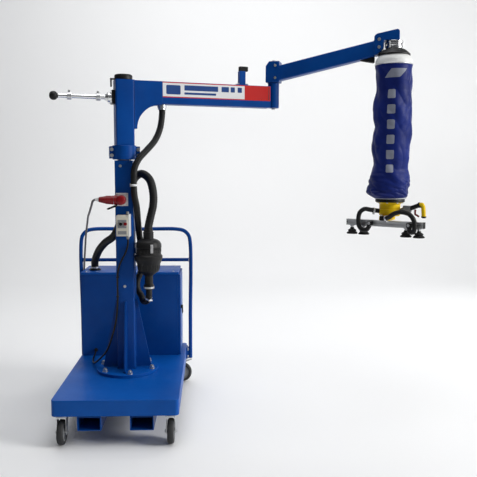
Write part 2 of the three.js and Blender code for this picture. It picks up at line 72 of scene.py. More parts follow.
# ------------------------------------------------------------------ node helpers
class NT:
    def __init__(self, name):
        self.m = bpy.data.materials.new(name)
        self.m.use_nodes = True
        self.t = self.m.node_tree
        self.n = self.t.nodes
        self.l = self.t.links
        self.p = self.n["Principled BSDF"]
        self.c = self.n.new("ShaderNodeTexCoord")

    def set(self, **k):
        for key, v in k.items():
            self.p.inputs[key.replace("_", " ")].default_value = v
        return self

    def noise(self, scale, detail=3.0, rough=0.5, vec=None, dist=0.0):
        n = self.n.new("ShaderNodeTexNoise")
        n.inputs["Scale"].default_value = scale
        n.inputs["Detail"].default_value = detail
        n.inputs["Roughness"].default_value = rough
        n.inputs["Distortion"].default_value = dist
        self.l.new(vec or self.c.outputs["Object"], n.inputs["Vector"])
        return n.outputs["Fac"]

    def ramp(self, src, pts):
        r = self.n.new("ShaderNodeValToRGB")
        e = r.color_ramp.elements
        while len(e) > 1:
            e.remove(e[-1])
        e[0].position = pts[0][0]
        e[0].color = (*pts[0][1], 1)
        for p, c in pts[1:]:
            x = e.new(p)
            x.color = (*c, 1)
        self.l.new(src, r.inputs["Fac"])
        return r.outputs["Color"]

    def map(self, src, a, b, lo=0.0, hi=1.0):
        r = self.n.new("ShaderNodeMapRange")
        r.inputs["From Min"].default_value = lo
        r.inputs["From Max"].default_value = hi
        r.inputs["To Min"].default_value = a
        r.inputs["To Max"].default_value = b
        self.l.new(src, r.inputs["Value"])
        return r.outputs["Result"]

    def mix(self, fac, a, b, mode="MIX"):
        m = self.n.new("ShaderNodeMix")
        m.data_type = "RGBA"
        m.blend_type = mode
        for s, v in ((m.inputs["Factor"], fac), (m.inputs["A"], a), (m.inputs["B"], b)):
            if isinstance(v, (int, float)):
                s.default_value = v
            elif isinstance(v, tuple):
                s.default_value = (*v, 1)
            else:
                self.l.new(v, s)
        return m.outputs["Result"]

    def math(self, op, a, b=0.0):
        m = self.n.new("ShaderNodeMath")
        m.operation = op
        for s, v in ((m.inputs[0], a), (m.inputs[1], b)):
            if isinstance(v, (int, float)):
                s.default_value = v
            else:
                self.l.new(v, s)
        return m.outputs["Value"]

    def bump(self, h, strength, dist=0.001, normal=None):
        b = self.n.new("ShaderNodeBump")
        b.inputs["Strength"].default_value = strength
        b.inputs["Distance"].default_value = dist
        self.l.new(h, b.inputs["Height"])
        if normal is not None:
            self.l.new(normal, b.inputs["Normal"])
        return b.outputs["Normal"]

    def out(self, **k):
        for key, v in k.items():
            self.l.new(v, self.p.inputs[key.replace("_", " ")])
        return self.m


def paint(name, base, dark, rough=0.34, wear=0.5, coat=0.1):
    t = NT(name)
    big, fine = t.noise(3.2, 4), t.noise(420, 2)
    spots = t.noise(34, 6, 0.68)
    dust = t.noise(9, 7, 0.7)
    col = t.mix(t.map(big, 0.0, 1.0, 0.3, 0.75), base, dark)
    col = t.mix(t.map(dust, 0.0, 0.035 * wear, 0.52, 0.8), col, (0.20, 0.30, 0.45))
    col = t.mix(t.map(spots, 0.0, 0.55 * wear, 0.72, 0.8), col, tuple(v * 0.35 for v in dark))
    r = t.math("ADD", t.map(dust, rough - 0.05, rough + 0.16), t.map(fine, -0.03, 0.03))
    nrm = t.bump(t.math("ADD", t.noise(170, 2), t.math("MULTIPLY", fine, 0.4)), 0.2, 0.0006)
    t.set(Coat_Weight=coat * 0.6, Coat_Roughness=0.14, Specular_IOR_Level=0.13)
    return t.out(Base_Color=col, Roughness=r, Normal=nrm)


def plastic(name, base, rough=0.5, grain=300, amount=0.15, second=None, coat=0.0):
    t = NT(name)
    t.set(Specular_IOR_Level=0.3)
    a, b = t.noise(6, 5, 0.6), t.noise(grain, 2)
    col = t.mix(t.map(a, 0.0, 0.5, 0.35, 0.8), base, second or tuple(min(1, v * 1.6 + 0.003) for v in base))
    t.set(Coat_Weight=coat, Coat_Roughness=0.15)
    return t.out(Base_Color=col, Roughness=t.map(a, rough - 0.06, rough + 0.12), Normal=t.bump(b, amount, 0.0005))


def metal(name, base, rough=0.25, scratch=0.3, stretch=(1, 1, 22), dirt=0.25):
    t = NT(name)
    m = t.n.new("ShaderNodeMapping")
    m.inputs["Scale"].default_value = stretch
    t.l.new(t.c.outputs["Object"], m.inputs["Vector"])
    s = t.noise(190, 3, 0.6, m.outputs["Vector"])
    d = t.noise(14, 6, 0.65)
    col = t.mix(t.map(d, 0.0, dirt, 0.5, 0.85), base, tuple(v * 0.3 for v in base))
    t.set(Metallic=1.0)
    return t.out(Base_Color=col, Roughness=t.math("ADD", t.map(s, rough * 0.7, rough * 1.4), t.map(d, -0.03, 0.14)), Normal=t.bump(s, scratch, 0.0003))


M = {}
M["blue"] = paint("blue_powder_coat", (0.0012, 0.060, 0.29), (0.0008, 0.040, 0.21))
# a lighter copy of the same blue powder coat, used on the deck, flange plate, cabinet top and door stiffener: painted
# light on the faces turned to the lamps
M["blue_painted_top_light"] = paint("blue_coat_painted_top_light", (0.0015, 0.088, 0.40), (0.001, 0.064, 0.31), 0.36, 0.6)
M["black"] = plastic("black_moulding", (0.004, 0.004, 0.0045), 0.46, 260, 0.2)
M["hose"] = plastic("black_hose", (0.003, 0.003, 0.0035), 0.45, 500, 0.12)
M["rubber"] = plastic("black_rubber", (0.007, 0.007, 0.007), 0.72, 380, 0.25)
M["cream"] = plastic("cream_housing", (0.66, 0.63, 0.54), 0.42, 240, 0.08, (0.55, 0.52, 0.43))
M["white"] = plastic("white_plastic", (0.74, 0.75, 0.74), 0.36, 240, 0.06, (0.6, 0.61, 0.6))
M["red"] = plastic("red_plastic", (0.22, 0.004, 0.008), 0.34, 240, 0.08, (0.15, 0.003, 0.006), 0.15)
M["grey"] = plastic("grey_plastic", (0.26, 0.27, 0.28), 0.5, 240, 0.12, (0.2, 0.2, 0.21))
M["cable_grey"] = plastic("grey_cable", (0.12, 0.115, 0.12), 0.5, 500, 0.06)
M["yellow"] = paint("yellow_coat", (0.80, 0.55, 0.010), (0.66, 0.42, 0.006), 0.34, 0.5)
M["chrome"] = metal("polished_chrome", (0.86, 0.87, 0.88), 0.10, 0.08, (1, 1, 10), 0.12)
M["zinc"] = metal("zinc_plate", (0.62, 0.63, 0.64), 0.28, 0.25)
M["steel"] = metal("turned_steel", (0.55, 0.55, 0.56), 0.3, 0.3)
M["alu"] = metal("anodised_bar", (0.70, 0.71, 0.72), 0.27, 0.3, (26, 1, 1), 0.1)
M["iron"] = plastic("cast_iron", (0.035, 0.035, 0.038), 0.75, 90, 0.6)
M["tyre"] = plastic("grey_tyre", (0.030, 0.031, 0.033), 0.62, 240, 0.25, (0.06, 0.06, 0.059))
M["blower"] = paint("grey_blower", (0.20, 0.21, 0.22), (0.15, 0.16, 0.17), 0.45, 0.8, 0)
M["label_white"] = plastic("label_white", (0.78, 0.79, 0.80), 0.3, 60, 0.03, (0.7, 0.7, 0.72), 0.3)
M["label_red"] = plastic("label_red", (0.56, 0.022, 0.020), 0.3, 60, 0.03, (0.50, 0.030, 0.028), 0.1)
M["label_pink"] = plastic("label_pink", (0.62, 0.28, 0.30), 0.3, 60, 0.03, (0.55, 0.22, 0.24), 0.3)
M["label_blue"] = plastic("label_blue", (0.02, 0.06, 0.22), 0.3, 60, 0.03, (0.03, 0.08, 0.25), 0.3)
M["label_dark"] = plastic("label_dark", (0.05, 0.05, 0.06), 0.3, 60, 0.03, (0.08, 0.08, 0.09), 0.3)

# ------------------------------------------------------------------ mesh helpers (millimetres in a local frame)
class Mesh:
    def __init__(self):
        self.v, self.f = [], []

    def raw(self, v, f):
        k = len(self.v)
        self.v += [tuple(p) for p in v]
        self.f += [tuple(i + k for i in q) for q in f]
        return self

    def box(self, x0, x1, y0, y1, z0, z1):
        return self.raw([(x0, y0, z0), (x1, y0, z0), (x1, y1, z0), (x0, y1, z0), (x0, y0, z1), (x1, y0, z1), (x1, y1, z1), (x0, y1, z1)],
                        [(3, 2, 1, 0), (4, 5, 6, 7), (0, 1, 5, 4), (1, 2, 6, 5), (2, 3, 7, 6), (3, 0, 4, 7)])

    def rod(self, a, b, r, n=32, r2=None, caps=True):
        A, B = Vector(a), Vector(b)
        q = (B - A).normalized().to_track_quat("Z", "Y")
        r2 = r if r2 is None else r2
        v = []
        for c, rr in ((A, r), (B, r2)):
            for i in range(n):
                t = 2 * math.pi * i / n
                v.append(c + q @ Vector((rr * math.cos(t), rr * math.sin(t), 0)))
        f = [(i, (i + 1) % n, n + (i + 1) % n, n + i) for i in range(n)]
        if caps:
            f += [tuple(range(n - 1, -1, -1)), tuple(range(n, 2 * n))]
        return self.raw(v, f)

    def hexnut(self, a, b, r):
        return self.rod(a, b, r, 6)

    def lathe(self, pts, n=48, x=0, y=0, z=0):
        v, f = [], []
        for r, h in pts:
            for i in range(n):
                t = 2 * math.pi * i / n
                v.append((x + r * math.cos(t), y + r * math.sin(t), z + h))
        for k in range(len(pts) - 1):
            for i in range(n):
                j = (i + 1) % n
                f.append((k * n + i, k * n + j, (k + 1) * n + j, (k + 1) * n + i))
        if pts[0][0] > 1e-6:
            f.append(tuple(range(n - 1, -1, -1)))
        if pts[-1][0] > 1e-6:
            f.append(tuple((len(pts) - 1) * n + i for i in range(n)))
        return self.raw(v, f)

    def plate(self, pts, z0, z1):
        n = len(pts)
        v = [(x, y, z0) for x, y in pts] + [(x, y, z1) for x, y in pts]
        return self.raw(v, [tuple(range(n - 1, -1, -1)), tuple(range(n, 2 * n))] + [(i, (i + 1) % n, n + (i + 1) % n, n + i) for i in range(n)])

    def side(self, pts, y0, y1):
        n = len(pts)
        v = [(x, y0, z) for x, z in pts] + [(x, y1, z) for x, z in pts]
        return self.raw(v, [tuple(range(n)), tuple(range(2 * n - 1, n - 1, -1))] + [(i, n + i, n + (i + 1) % n, (i + 1) % n) for i in range(n)])

    def sweep(self, pts, r, seg=16, per=8.0, ribs=0.0, pitch=10.0, caps=True):
        path = spline(pts, per)
        n = len(path)
        tang = [(path[min(i + 1, n - 1)] - path[max(i - 1, 0)]).normalized() for i in range(n)]
        up = Vector((0, 0, 1)) if abs(tang[0].z) < 0.9 else Vector((0, 1, 0))
        nrm = (up - tang[0] * up.dot(tang[0])).normalized()
        v, f, s = [], [], 0.0
        for i in range(n):
            if i:
                s += (path[i] - path[i - 1]).length
                nrm = (nrm - tang[i] * nrm.dot(tang[i])).normalized()
            bn = tang[i].cross(nrm)
            rr = r - (ribs * (0.5 - 0.5 * math.cos(2 * math.pi * s / pitch)) if ribs else 0)
            for k in range(seg):
                t = 2 * math.pi * k / seg
                v.append(path[i] + (nrm * math.cos(t) + bn * math.sin(t)) * rr)
        for i in range(n - 1):
            for k in range(seg):
                j = (k + 1) % seg
                f.append((i * seg + k, i * seg + j, (i + 1) * seg + j, (i + 1) * seg + k))
        if caps:
            f += [tuple(range(seg - 1, -1, -1)), tuple((n - 1) * seg + k for k in range(seg))]
        return self.raw(v, f)


def spline(pts, per):
    """Centripetal Catmull-Rom through the points, the same curve as the CAD's, resampled evenly."""
    P = [Vector(p) for p in pts]
    out = []
    n = len(P)
    for i in range(n - 1):
        p1, p2 = P[i], P[i + 1]
        p0 = P[i - 1] if i > 0 else p1 * 2 - p2
        p3 = P[i + 2] if i + 2 < n else p2 * 2 - p1
        d0, d1, d2 = max((p1 - p0).length ** 0.5, 1e-4), max((p2 - p1).length ** 0.5, 1e-4), max((p3 - p2).length ** 0.5, 1e-4)
        m1 = ((p1 - p0) / d0 - (p2 - p0) / (d0 + d1) + (p2 - p1) / d1) * d1
        m2 = ((p2 - p1) / d1 - (p3 - p1) / (d1 + d2) + (p3 - p2) / d2) * d1
        for k in range(40):
            t = k / 40
            out.append(p1 * (2 * t**3 - 3 * t**2 + 1) + m1 * (t**3 - 2 * t**2 + t) + p2 * (-2 * t**3 + 3 * t**2) + m2 * (t**3 - t**2))
    out.append(P[-1].copy())
    L = [0.0]
    for a, b in zip(out, out[1:]):
        L.append(L[-1] + (b - a).length)
    m = max(2, int(L[-1] / per) + 1)
    res, j = [], 0
    for k in range(m):
        s = L[-1] * k / (m - 1)
        while j < len(L) - 2 and L[j + 1] < s:
            j += 1
        t = (s - L[j]) / max(L[j + 1] - L[j], 1e-9)
        res.append(out[j].lerp(out[j + 1], min(max(t, 0), 1)))
    return res


def ring(r, n, x=0, y=0, a0=0):
    return [(x + r * math.cos(a0 + 2 * math.pi * i / n), y + r * math.sin(a0 + 2 * math.pi * i / n)) for i in range(n)]


def rrect(x0, x1, y0, y1, r, n=8):
    out = []
    for cx, cy, a in ((x1 - r, y1 - r, 0), (x0 + r, y1 - r, 90), (x0 + r, y0 + r, 180), (x1 - r, y0 + r, 270)):
        for i in range(n + 1):
            t = math.radians(a + 90 * i / n)
            out.append((cx + r * math.cos(t), cy + r * math.sin(t)))
    return out


def make(name, mesh, mat, T=T0, body="trolley", nodes=(), bevel=0.0, seg=2, smooth=38, slot=None, blend=None):
    me = bpy.data.meshes.new(name)
    me.from_pydata([tuple(c / 1000 for c in v) for v in mesh.v], [], mesh.f)
    me.update()
    bm = bmesh.new()
    bm.from_mesh(me)
    bmesh.ops.remove_doubles(bm, verts=bm.verts, dist=1e-6)
    bmesh.ops.recalc_face_normals(bm, faces=bm.faces)
    bm.to_mesh(me)
    bm.free()
    me.transform(T)
    o = bpy.data.objects.new(name, me)
    bpy.context.scene.collection.objects.link(o)
    me.materials.append(M[mat] if isinstance(mat, str) else mat)
    for p in me.polygons:
        p.use_smooth = True
    if bevel:
        b = o.modifiers.new("edge", "BEVEL")
        b.width = bevel / 1000
        b.segments = seg
        b.limit_method = "ANGLE"
        b.angle_limit = math.radians(32)
        b.harden_normals = True
    me.set_sharp_from_angle(angle=math.radians(smooth))
    if blend:
        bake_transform(o)
    else:
        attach(o, body)
    if nodes:
        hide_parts(*([nodes] if isinstance(nodes, str) else nodes))
    return o


def keep(node, mat, bevel=0.0):
    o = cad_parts[node]
    o.data.materials.clear()
    o.data.materials.append(M[mat])
    if bevel:
        b = o.modifiers.new("edge", "BEVEL")
        b.width = bevel / 1000
        b.segments = 2
        b.limit_method = "ANGLE"
        b.angle_limit = math.radians(40)
    return o


def loopback(outer, inner, z0, z1, zi):
    """Tray open at the bottom: outer outline z0..z1, inner outline z0..zi, same point count."""
    m, n = Mesh(), len(outer)
    v = [(x, y, z0) for x, y in outer] + [(x, y, z1) for x, y in outer] + [(x, y, z0) for x, y in inner] + [(x, y, zi) for x, y in inner]
    f = [tuple(range(n, 2 * n)), tuple(range(4 * n - 1, 3 * n - 1, -1))]
    for i in range(n):
        j = (i + 1) % n
        f += [(i, j, n + j, n + i), (2 * n + i, 3 * n + i, 3 * n + j, 2 * n + j), (j, i, 2 * n + i, 2 * n + j)]
    return m.raw(v, f)


def hollow(outer, inner, z0, z1):
    m, n = Mesh(), len(outer)
    v = [(x, y, z0) for x, y in outer] + [(x, y, z1) for x, y in outer] + [(x, y, z0) for x, y in inner] + [(x, y, z1) for x, y in inner]
    f = []
    for i in range(n):
        j = (i + 1) % n
        f += [(i, j, n + j, n + i), (2 * n + i, 3 * n + i, 3 * n + j, 2 * n + j), (j, i, 2 * n + i, 2 * n + j), (n + i, n + j, 3 * n + j, 3 * n + i)]
    return m.raw(v, f)


def bolt(m, base, axis, r=8, h=6, washer=True, shank=0):
    A, d = Vector(base), Vector(axis).normalized()
    if washer:
        m.rod(A, A + d * 2, r * 1.35, 24)
        A = A + d * 2
    m.rod(A, A + d * h, r, 6)
    if shank:
        m.rod(A + d * h, A + d * (h + shank), r * 0.55, 16)


def beads(pts, r=3.2, seg=6, per=3.0, ribs=1.1, pitch=7.0):
    return Mesh().sweep(pts, r, seg, per, ribs, pitch)


# ------------------------------------------------------------------ trolley
make("deck_shell", loopback(rrect(-375, 375, -602, 660, 26), rrect(-369, 369, -596, 654, 20), 190, 288, 280), "blue_painted_top_light", nodes="deck_tray", bevel=5, seg=3, slot="blue_paint")
keep("ballast_slab", "iron", 2)
keep("fork_underframe", "blue", 2)
keep("king_post", "steel")
m = Mesh().plate(ring(205, 96), 288.3, 308)
make("flange_plate", m, "blue_painted_top_light", nodes="base_flange", bevel=1.5, slot="blue_paint")
m, nuts = hollow(ring(205, 64), ring(150, 64), 262, 279.7), Mesh()
for a in (-78, -18, 42, 102, 162, 222):
    x, y = 177.5 * math.cos(math.radians(a)), 177.5 * math.sin(math.radians(a))
    nuts.rod((x, y, 308.2), (x, y, 311.5), 18.5, 32)
    nuts.rod((x, y, 311.5), (x, y, 325), 15.5, 6)
    nuts.rod((x, y, 325), (x, y, 327), 12, 20)
    th = [(0.01, 270)]
    for k in range(12):
        th += [(9.6, 320 + k * 1.2), (8.7, 320.6 + k * 1.2)]
    th += [(8, 334), (0.01, 334)]
    nuts.lathe(th, 20, x, y)
make("stud_backing_ring", m, "zinc", nodes="stud_ring", bevel=1, slot="zinc")
make("stud_nuts", nuts, "zinc", bevel=0.6, slot="zinc")
c = rrect(-59, 59, -59, 59, 9, 5)
ci = rrect(-54, 54, -54, 54, 5, 5)
make("column_tube", hollow(c, ci, 308.3, 1690), "blue", nodes="mast_column", slot="blue_paint")
m = Mesh()
for k in range(4):
    R = Matrix.Rotation(math.pi / 2 * k, 3, "Z")
    g = Mesh().side([(57, 308.3), (159, 308.3), (159, 322), (70, 767), (57, 768)], -5, 5)
    m.raw([R @ Vector(p) for p in g.v], g.f)
make("column_gussets", m, "blue", bevel=1, slot="blue_paint")
m = Mesh()
for k in range(4):
    R = Matrix.Rotation(math.pi / 2 * k, 3, "Z")
    for s in (-1, 1):
        g = beads([(61, s * 6.5, 311), (61, s * 6.5, 540), (61, s * 6.5, 765)])
        m.raw([R @ Vector(p) for p in g.v], g.f)
        g = beads([(62, s * 6.5, 310), (156, s * 6.5, 310)])
        m.raw([R @ Vector(p) for p in g.v], g.f)
    g = beads([(60.5, -56, 310), (60.5, 56, 310)])
    m.raw([R @ Vector(p) for p in g.v], g.f)
make("column_welds", m, "blue", slot="blue_paint")

# push handle
x, y, zt = 406, 569, 1185
m = Mesh().sweep([(-x, y, 196), (-x, y, 500), (-x, y, zt - 95), (-x + 12, y, zt - 45), (-x + 45, y, zt - 12), (-x + 95, y, zt), (0, y, zt), (x - 95, y, zt), (x - 45, y, zt - 12), (x - 12, y, zt - 45), (x, y, zt - 95), (x, y, 500), (x, y, 196)], 14, 24, 12)
make("handle_tube", m, "blue", nodes="push_handle", slot="blue_paint", smooth=60)
m = Mesh().rod((-x + 13, y, 954), (x - 13, y, 954), 13, 24)
for k in (-1, 1):
    m.sweep([Vector((k * (x - 13), y + 13.6 * math.cos(t), 954 + 13.6 * math.sin(t))) for t in np.linspace(0, 2 * math.pi, 17)], 2.4, 6, 4, 0.7, 7)
make("handle_cross_rail", m, "blue", slot="blue_paint")
m, n = Mesh(), Mesh()
for k in (-1, 1):
    a, b = sorted((k * 375.3, k * 384))
    m.box(a, b, y - 38, y + 38, 196, 284)
    m.rod((k * 383, y, 200), (k * 383, y, 280), 12, 20)
    m.side([(k * 384, 196), (k * 396, 196), (k * 396, 202), (k * 384, 202)], y - 20, y + 20)
    for z in (212, 268):
        for d in (-25, 25):
            bolt(n, (k * 384, y + d, z), (k, 0, 0), 9, 7)
make("handle_feet", m, "blue", bevel=1.2, slot="blue_paint")
make("handle_bolts", n, "zinc", bevel=0.5, slot="zinc")

# cabinet
X0, X1, Y0, Y1, CT, Z0 = -363, 323, 325, 645, 880, 288.3
m = Mesh().box(X0, X1, Y0, Y0 + 3, Z0, CT).box(X0, X1, Y1 - 3, Y1, Z0, CT).box(X0, X0 + 3, Y0 + 3, Y1 - 3, Z0, CT).box(X0 + 3, X1, Y0 + 3, Y1 - 3, Z0, Z0 + 3)
m.box(X1 - 26, X1, Y0 + 3, Y0 + 24, Z0 + 3, CT).box(X1 - 26, X1, Y1 - 24, Y1 - 3, Z0 + 3, CT)
make("cabinet_walls", m, "blue", nodes="cabinet_shell", bevel=1.4, slot="blue_paint")
# louvres pressed in the back wall, and a cable gland on each side
m = Mesh()
for i in range(3):
    for k in range(9):
        cx, z = -220 + i * 200, 420 + k * 30
        m.side([(Y1 - 0.5, z), (Y1 + 5, z + 3), (Y1 + 5, z + 6), (Y1 - 0.5, z + 16)], cx - 62, cx + 62)
g = Mesh()
g.v = [(p[1], p[0], p[2]) for p in m.v]
g.f = m.f
make("cabinet_louvres", g, "blue", bevel=1, slot="blue_paint")
m = Mesh()
m.rod((-268, Y0, 330), (-268, Y0 - 4, 330), 15, 6)
m.rod((-268, Y0 - 4, 330), (-268, Y0 - 20, 330), 11, 20, 8)
m.rod((X0, 504, 800), (X0 - 5, 504, 800), 15, 6)
m.rod((X0 - 5, 504, 800), (X0 - 24, 504, 800), 12, 24)
m.rod((X0 - 14, 504, 800), (X0 - 14, 504, 822), 10, 20, 8)
make("cable_glands", m, "black", bevel=0.6, slot="black_plastic")
m = Mesh().box(X0 - 4, X1 + 8, Y0 - 4, Y1 + 4, CT + 0.3, CT + 18)
make("cabinet_top", m, "blue_painted_top_light", nodes="cabinet_lid", bevel=3.5, seg=3, slot="blue_paint")
m = Mesh()
for bx in (X0 + 30, 0, X1 - 30):
    for by in (Y0 + 24, Y1 - 24):
        bolt(m, (bx, by, CT + 17.5), (0, 0, 1), 6.5, 3.5)
make("lid_screws", m, "zinc", bevel=0.4, slot="zinc")
b = keep("vacuum_blower", "blower", 2)
m = Mesh().box(X1 + 0.3, X1 + 20, Y0 + 2, Y1 - 2, 294, CT - 2)
make("door_panel", m, "blue", body="cabinet door", nodes="cabinet_door", bevel=3, seg=3, slot="blue_paint")
m = Mesh().box(X1 + 19.6, X1 + 21.6, Y0 + 26, Y1 - 26, 320, CT - 30)
make("door_stiffener", m, "blue_painted_top_light", body="cabinet door", bevel=1, slot="blue_paint")
m = Mesh()
for z in (380, 587, 790):
    m.rod((X1 + 14, Y1 + 2, z - 30), (X1 + 14, Y1 + 2, z + 30), 5, 16)
    m.box(X1 + 2, X1 + 21.4, Y1 - 22, Y1 - 2, z - 28, z + 28)
make("door_hinges", m, "zinc", body="cabinet door", bevel=0.8, slot="zinc")
m = Mesh().rod((X1 + 20.3, Y0 + 34, 640), (X1 + 29, Y0 + 34, 640), 13, 28).rod((X1 + 29, Y0 + 34, 640), (X1 + 33, Y0 + 34, 640), 9, 24)
m.side([(X1 + 29, 652), (X1 + 36, 652), (X1 + 38, 600), (X1 + 34, 590), (X1 + 30, 596)], Y0 + 26, Y0 + 42)
make("latch_handle", m, "black", body="door latch", nodes="door_latch", bevel=1.5, slot="black_plastic")

# ------------------------------------------------------------------ column fittings
yf = -59.3
m = Mesh().box(-43, 34, yf - 74, yf, 1205, 1340)
make("switch_base", m, "cream", nodes="switch_box", bevel=5, seg=3, slot="cream_plastic")
make("switch_cover", Mesh().box(-42, 33, yf - 82, yf - 74.6, 1206, 1339), "cream", bevel=3, seg=3, slot="cream_plastic")
m = Mesh().box(34.2, 43, yf - 80, yf, 1200, 1345)
make("switch_flap", m, "white", bevel=2.5, slot="white_plastic")
m = Mesh().box(-32, 24, yf - 84, yf - 82, 1258, 1312).box(-32, 24, yf - 83.4, yf - 82, 1218, 1240)
make("button_plate", m, "grey", bevel=1, slot="grey_plastic")
m = Mesh()
for sx in (-36, 28):
    for sz in (1212, 1333):
        m.rod((sx, yf - 81.5, sz), (sx, yf - 83.4, sz), 4, 16)
        m.box(sx - 3, sx + 3, yf - 83.6, yf - 83.3, sz - 0.6, sz + 0.6)
make("cover_screws", m, "zinc", bevel=0.3, slot="zinc")
for nm, bx, mt, sl in (("start", -12, "black", "black_plastic"), ("stop", 17, "red", "red_plastic")):
    m = Mesh()
    m.raw(*[(lambda L: ([(bx + p[0], yf - 62 - p[2], 1285 + p[1]) for p in L.v], L.f))(Mesh().lathe([(0.01, 0), (10.5, 0), (10.5, 29), (9.5, 31.5), (0.01, 32)], 28))][0])
    make(nm + "_cap", m, mt, body=nm + " button", nodes=nm + "_button", bevel=0.5, slot=sl)
m = Mesh()
for bx in (-12, 17):
    ringp = [Vector((bx + 12.4 * math.cos(t), yf - 84.2, 1285 + 12.4 * math.sin(t))) for t in np.linspace(0, 2 * math.pi, 33)]
    m.sweep(ringp, 1.8, 10, 3)
make("button_bezels", m, "steel", slot="chrome")
m = Mesh()
for z0, s in ((1205, -1), (1340, 1)):
    m.rod((27, yf - 42, z0), (27, yf - 42, z0 + s * 6), 13, 6)
    m.rod((27, yf - 42, z0 + s * 6), (27, yf - 42, z0 + s * 22), 11, 24, 8.5)
make("switch_glands", m, "grey", bevel=0.8, slot="grey_plastic")
# supply inlet: mounting plate, round housing on it, mouth to the left with its hinged flap hanging open
m = Mesh().box(-52, 27, yf - 11, yf, 1396, 1480)
make("inlet_plate", m, "white", nodes="supply_inlet", bevel=3, seg=3, slot="white_plastic")
m = Mesh()
for sx in (-44, 19):
    for sz in (1404, 1472):
        m.rod((sx, yf - 11, sz), (sx, yf - 13, sz), 4.2, 20)
make("inlet_plate_screws", m, "zinc", bevel=0.3, slot="zinc")
I0 = Vector((-14, yf - 44, 1436))
m = Mesh().lathe([(0.01, 10), (31, 10), (31, 68), (29, 74), (24, 77.5), (15, 79.5), (0.01, 80)], 56)
g = Mesh().raw([(-14 + v[0], yf - v[2], 1436 + v[1]) for v in m.v], m.f)
g.rod(I0, (-44, yf - 45, 1436), 29, 48)
ax = Vector((-1, -0.03, 0.01)).normalized()
q = ax.to_track_quat("Z", "Y")
g.rod((-42, yf - 45, 1436), (-56, yf - 45.4, 1436), 31.5, 48)
for k in range(12):
    t = 2 * math.pi * k / 12
    o1 = q @ Vector((28.8 * math.cos(t), 28.8 * math.sin(t), 0))
    g.rod(I0 + o1 + ax * 22, I0 + o1 + ax * 30, 1.8, 8)
make("inlet_housing", g, "red", bevel=1.2, slot="red_plastic")
m = Mesh().side([(-42, 1412), (-42, 1394), (-92, 1375), (-100, 1377), (-103, 1383), (-58, 1402), (-52, 1404.5)], yf - 66, yf - 26)
make("inlet_flap", m, "black", bevel=2.5, seg=3, slot="black_plastic")
m = Mesh().rod((-47, yf - 68, 1405), (-47, yf - 24, 1405), 3, 20)
make("flap_hinge_pin", m, "zinc", bevel=0.4, slot="zinc")
P1, P2, P3, P4 = Vector((-59.5, yf - 46, 1436)), Vector((-112, yf - 50, 1438)), Vector((-154, yf - 54, 1440)), Vector((-176, yf - 56, 1440))
m = Mesh().rod(P1, P1.lerp(P2, 0.22), 29, 56).rod(P1.lerp(P2, 0.22), P2, 27, 56, 24.5).rod(P2, P3, 24, 56, 16)
q = (P2 - P1).to_track_quat("Z", "Y")
for k in range(14):
    t = 2 * math.pi * k / 14
    o1 = q @ Vector((math.cos(t), math.sin(t), 0))
    m.rod(P1.lerp(P2, 0.3) + o1 * 26.6, P1.lerp(P2, 0.96) + o1 * 24.8, 1.9, 8)
for f_ in (0.15, 0.3, 0.45, 0.6, 0.75):
    c_ = P2.lerp(P3, f_)
    m.rod(c_, c_ + (P3 - P2).normalized() * 2.4, 24.8 - 8 * f_, 48)
make("plug_body", m, "red", nodes="supply_plug_lead", bevel=1.0, slot="red_plastic")
m = Mesh().rod(P3, P3.lerp(P4, 0.3), 14, 6).rod(P3.lerp(P4, 0.3), P4, 12, 28, 9)
make("plug_gland", m, "white", bevel=1.2, slot="grey_plastic")
SL = [(-174, yf - 56, 1440), (-190, yf - 52, 1432), (-206, -90, 1396), (-236, 0, 1348), (-273, 150, 1310), (-308, 300, 1250), (-344, 430, 1150), (-367, 505, 1031), (-377, 522, 938), (-379, 516, 870), (-377, 504, 808)]
m = Mesh().sweep(SL, 7, 18, 6)
make("supply_lead", m, "cable_grey", slot="black_plastic")
CL = [(27, yf - 42, 1184), (27, yf - 42, 1179.7), (26, yf - 42, 1150), (12, yf - 40, 1100), (-24, yf - 22, 1030), (-46, yf - 12, 960), (-50, yf - 10, 775), (-62, yf - 16, 640), (-90, yf - 24, 530), (-130, yf - 10, 430), (-200, -20, 350), (-240, 80, 310), (-266, 190, 300), (-268, 270, 312), (-268, 322, 330)]
m = Mesh().sweep(CL, 6, 18, 6)
make("switch_lead", m, "black", nodes="control_lead", slot="black_plastic")
m = Mesh()
for cx, z in ((-47.5, 930), (-49.6, 800)):
    m.box(cx - 9, cx + 9, yf - 18, yf - 0.3, z - 4, z + 4)
make("lead_clips", m, "black", bevel=1.5, slot="black_plastic")
m = Mesh()
bolt(m, (-3, -59, 866), (0, -1, 0), 7, 5)
bolt(m, (-21, -59, 1655), (0, -1, 0), 7, 5)
make("column_bolts", m, "zinc", bevel=0.4, slot="zinc")

# filter
FX, FY = 154, -52
m = Mesh().lathe([(0.01, 847), (33, 847), (33, 875), (27, 881), (27, 935), (40, 947), (52, 956), (66, 966), (69, 972), (74, 1010), (85, 1036), (90, 1046), (91.5, 1052), (91.5, 1068), (88, 1073), (82, 1079), (82, 1086), (80, 1088), (80, 1118), (0.01, 1120)], 96, FX, FY)
make("filter_bowl", m, "black", nodes="filter_canister", bevel=1, slot="black_plastic")
m = Mesh()
for k in range(24):
    t = 2 * math.pi * k / 24
    m.rod((FX + 69.5 * math.cos(t), FY + 69.5 * math.sin(t), 976), (FX + 74.5 * math.cos(t), FY + 74.5 * math.sin(t), 1012), 2.2, 8)
    m.rod((FX + 80 * math.cos(t), FY + 80 * math.sin(t), 1090), (FX + 80 * math.cos(t), FY + 80 * math.sin(t), 1116), 2.4, 8)
make("filter_ribs", m, "black", slot="black_plastic")
m = Mesh().lathe([(0.01, 1120.3), (82, 1120.3), (84, 1123), (84, 1132), (82, 1138), (79, 1156), (74, 1164), (60, 1174), (42, 1180), (34, 1184), (34, 1221), (0.01, 1221)], 96, FX, FY)
make("filter_cap", m, "black", nodes="filter_lid", bevel=1.2, slot="black_plastic")
m = Mesh()
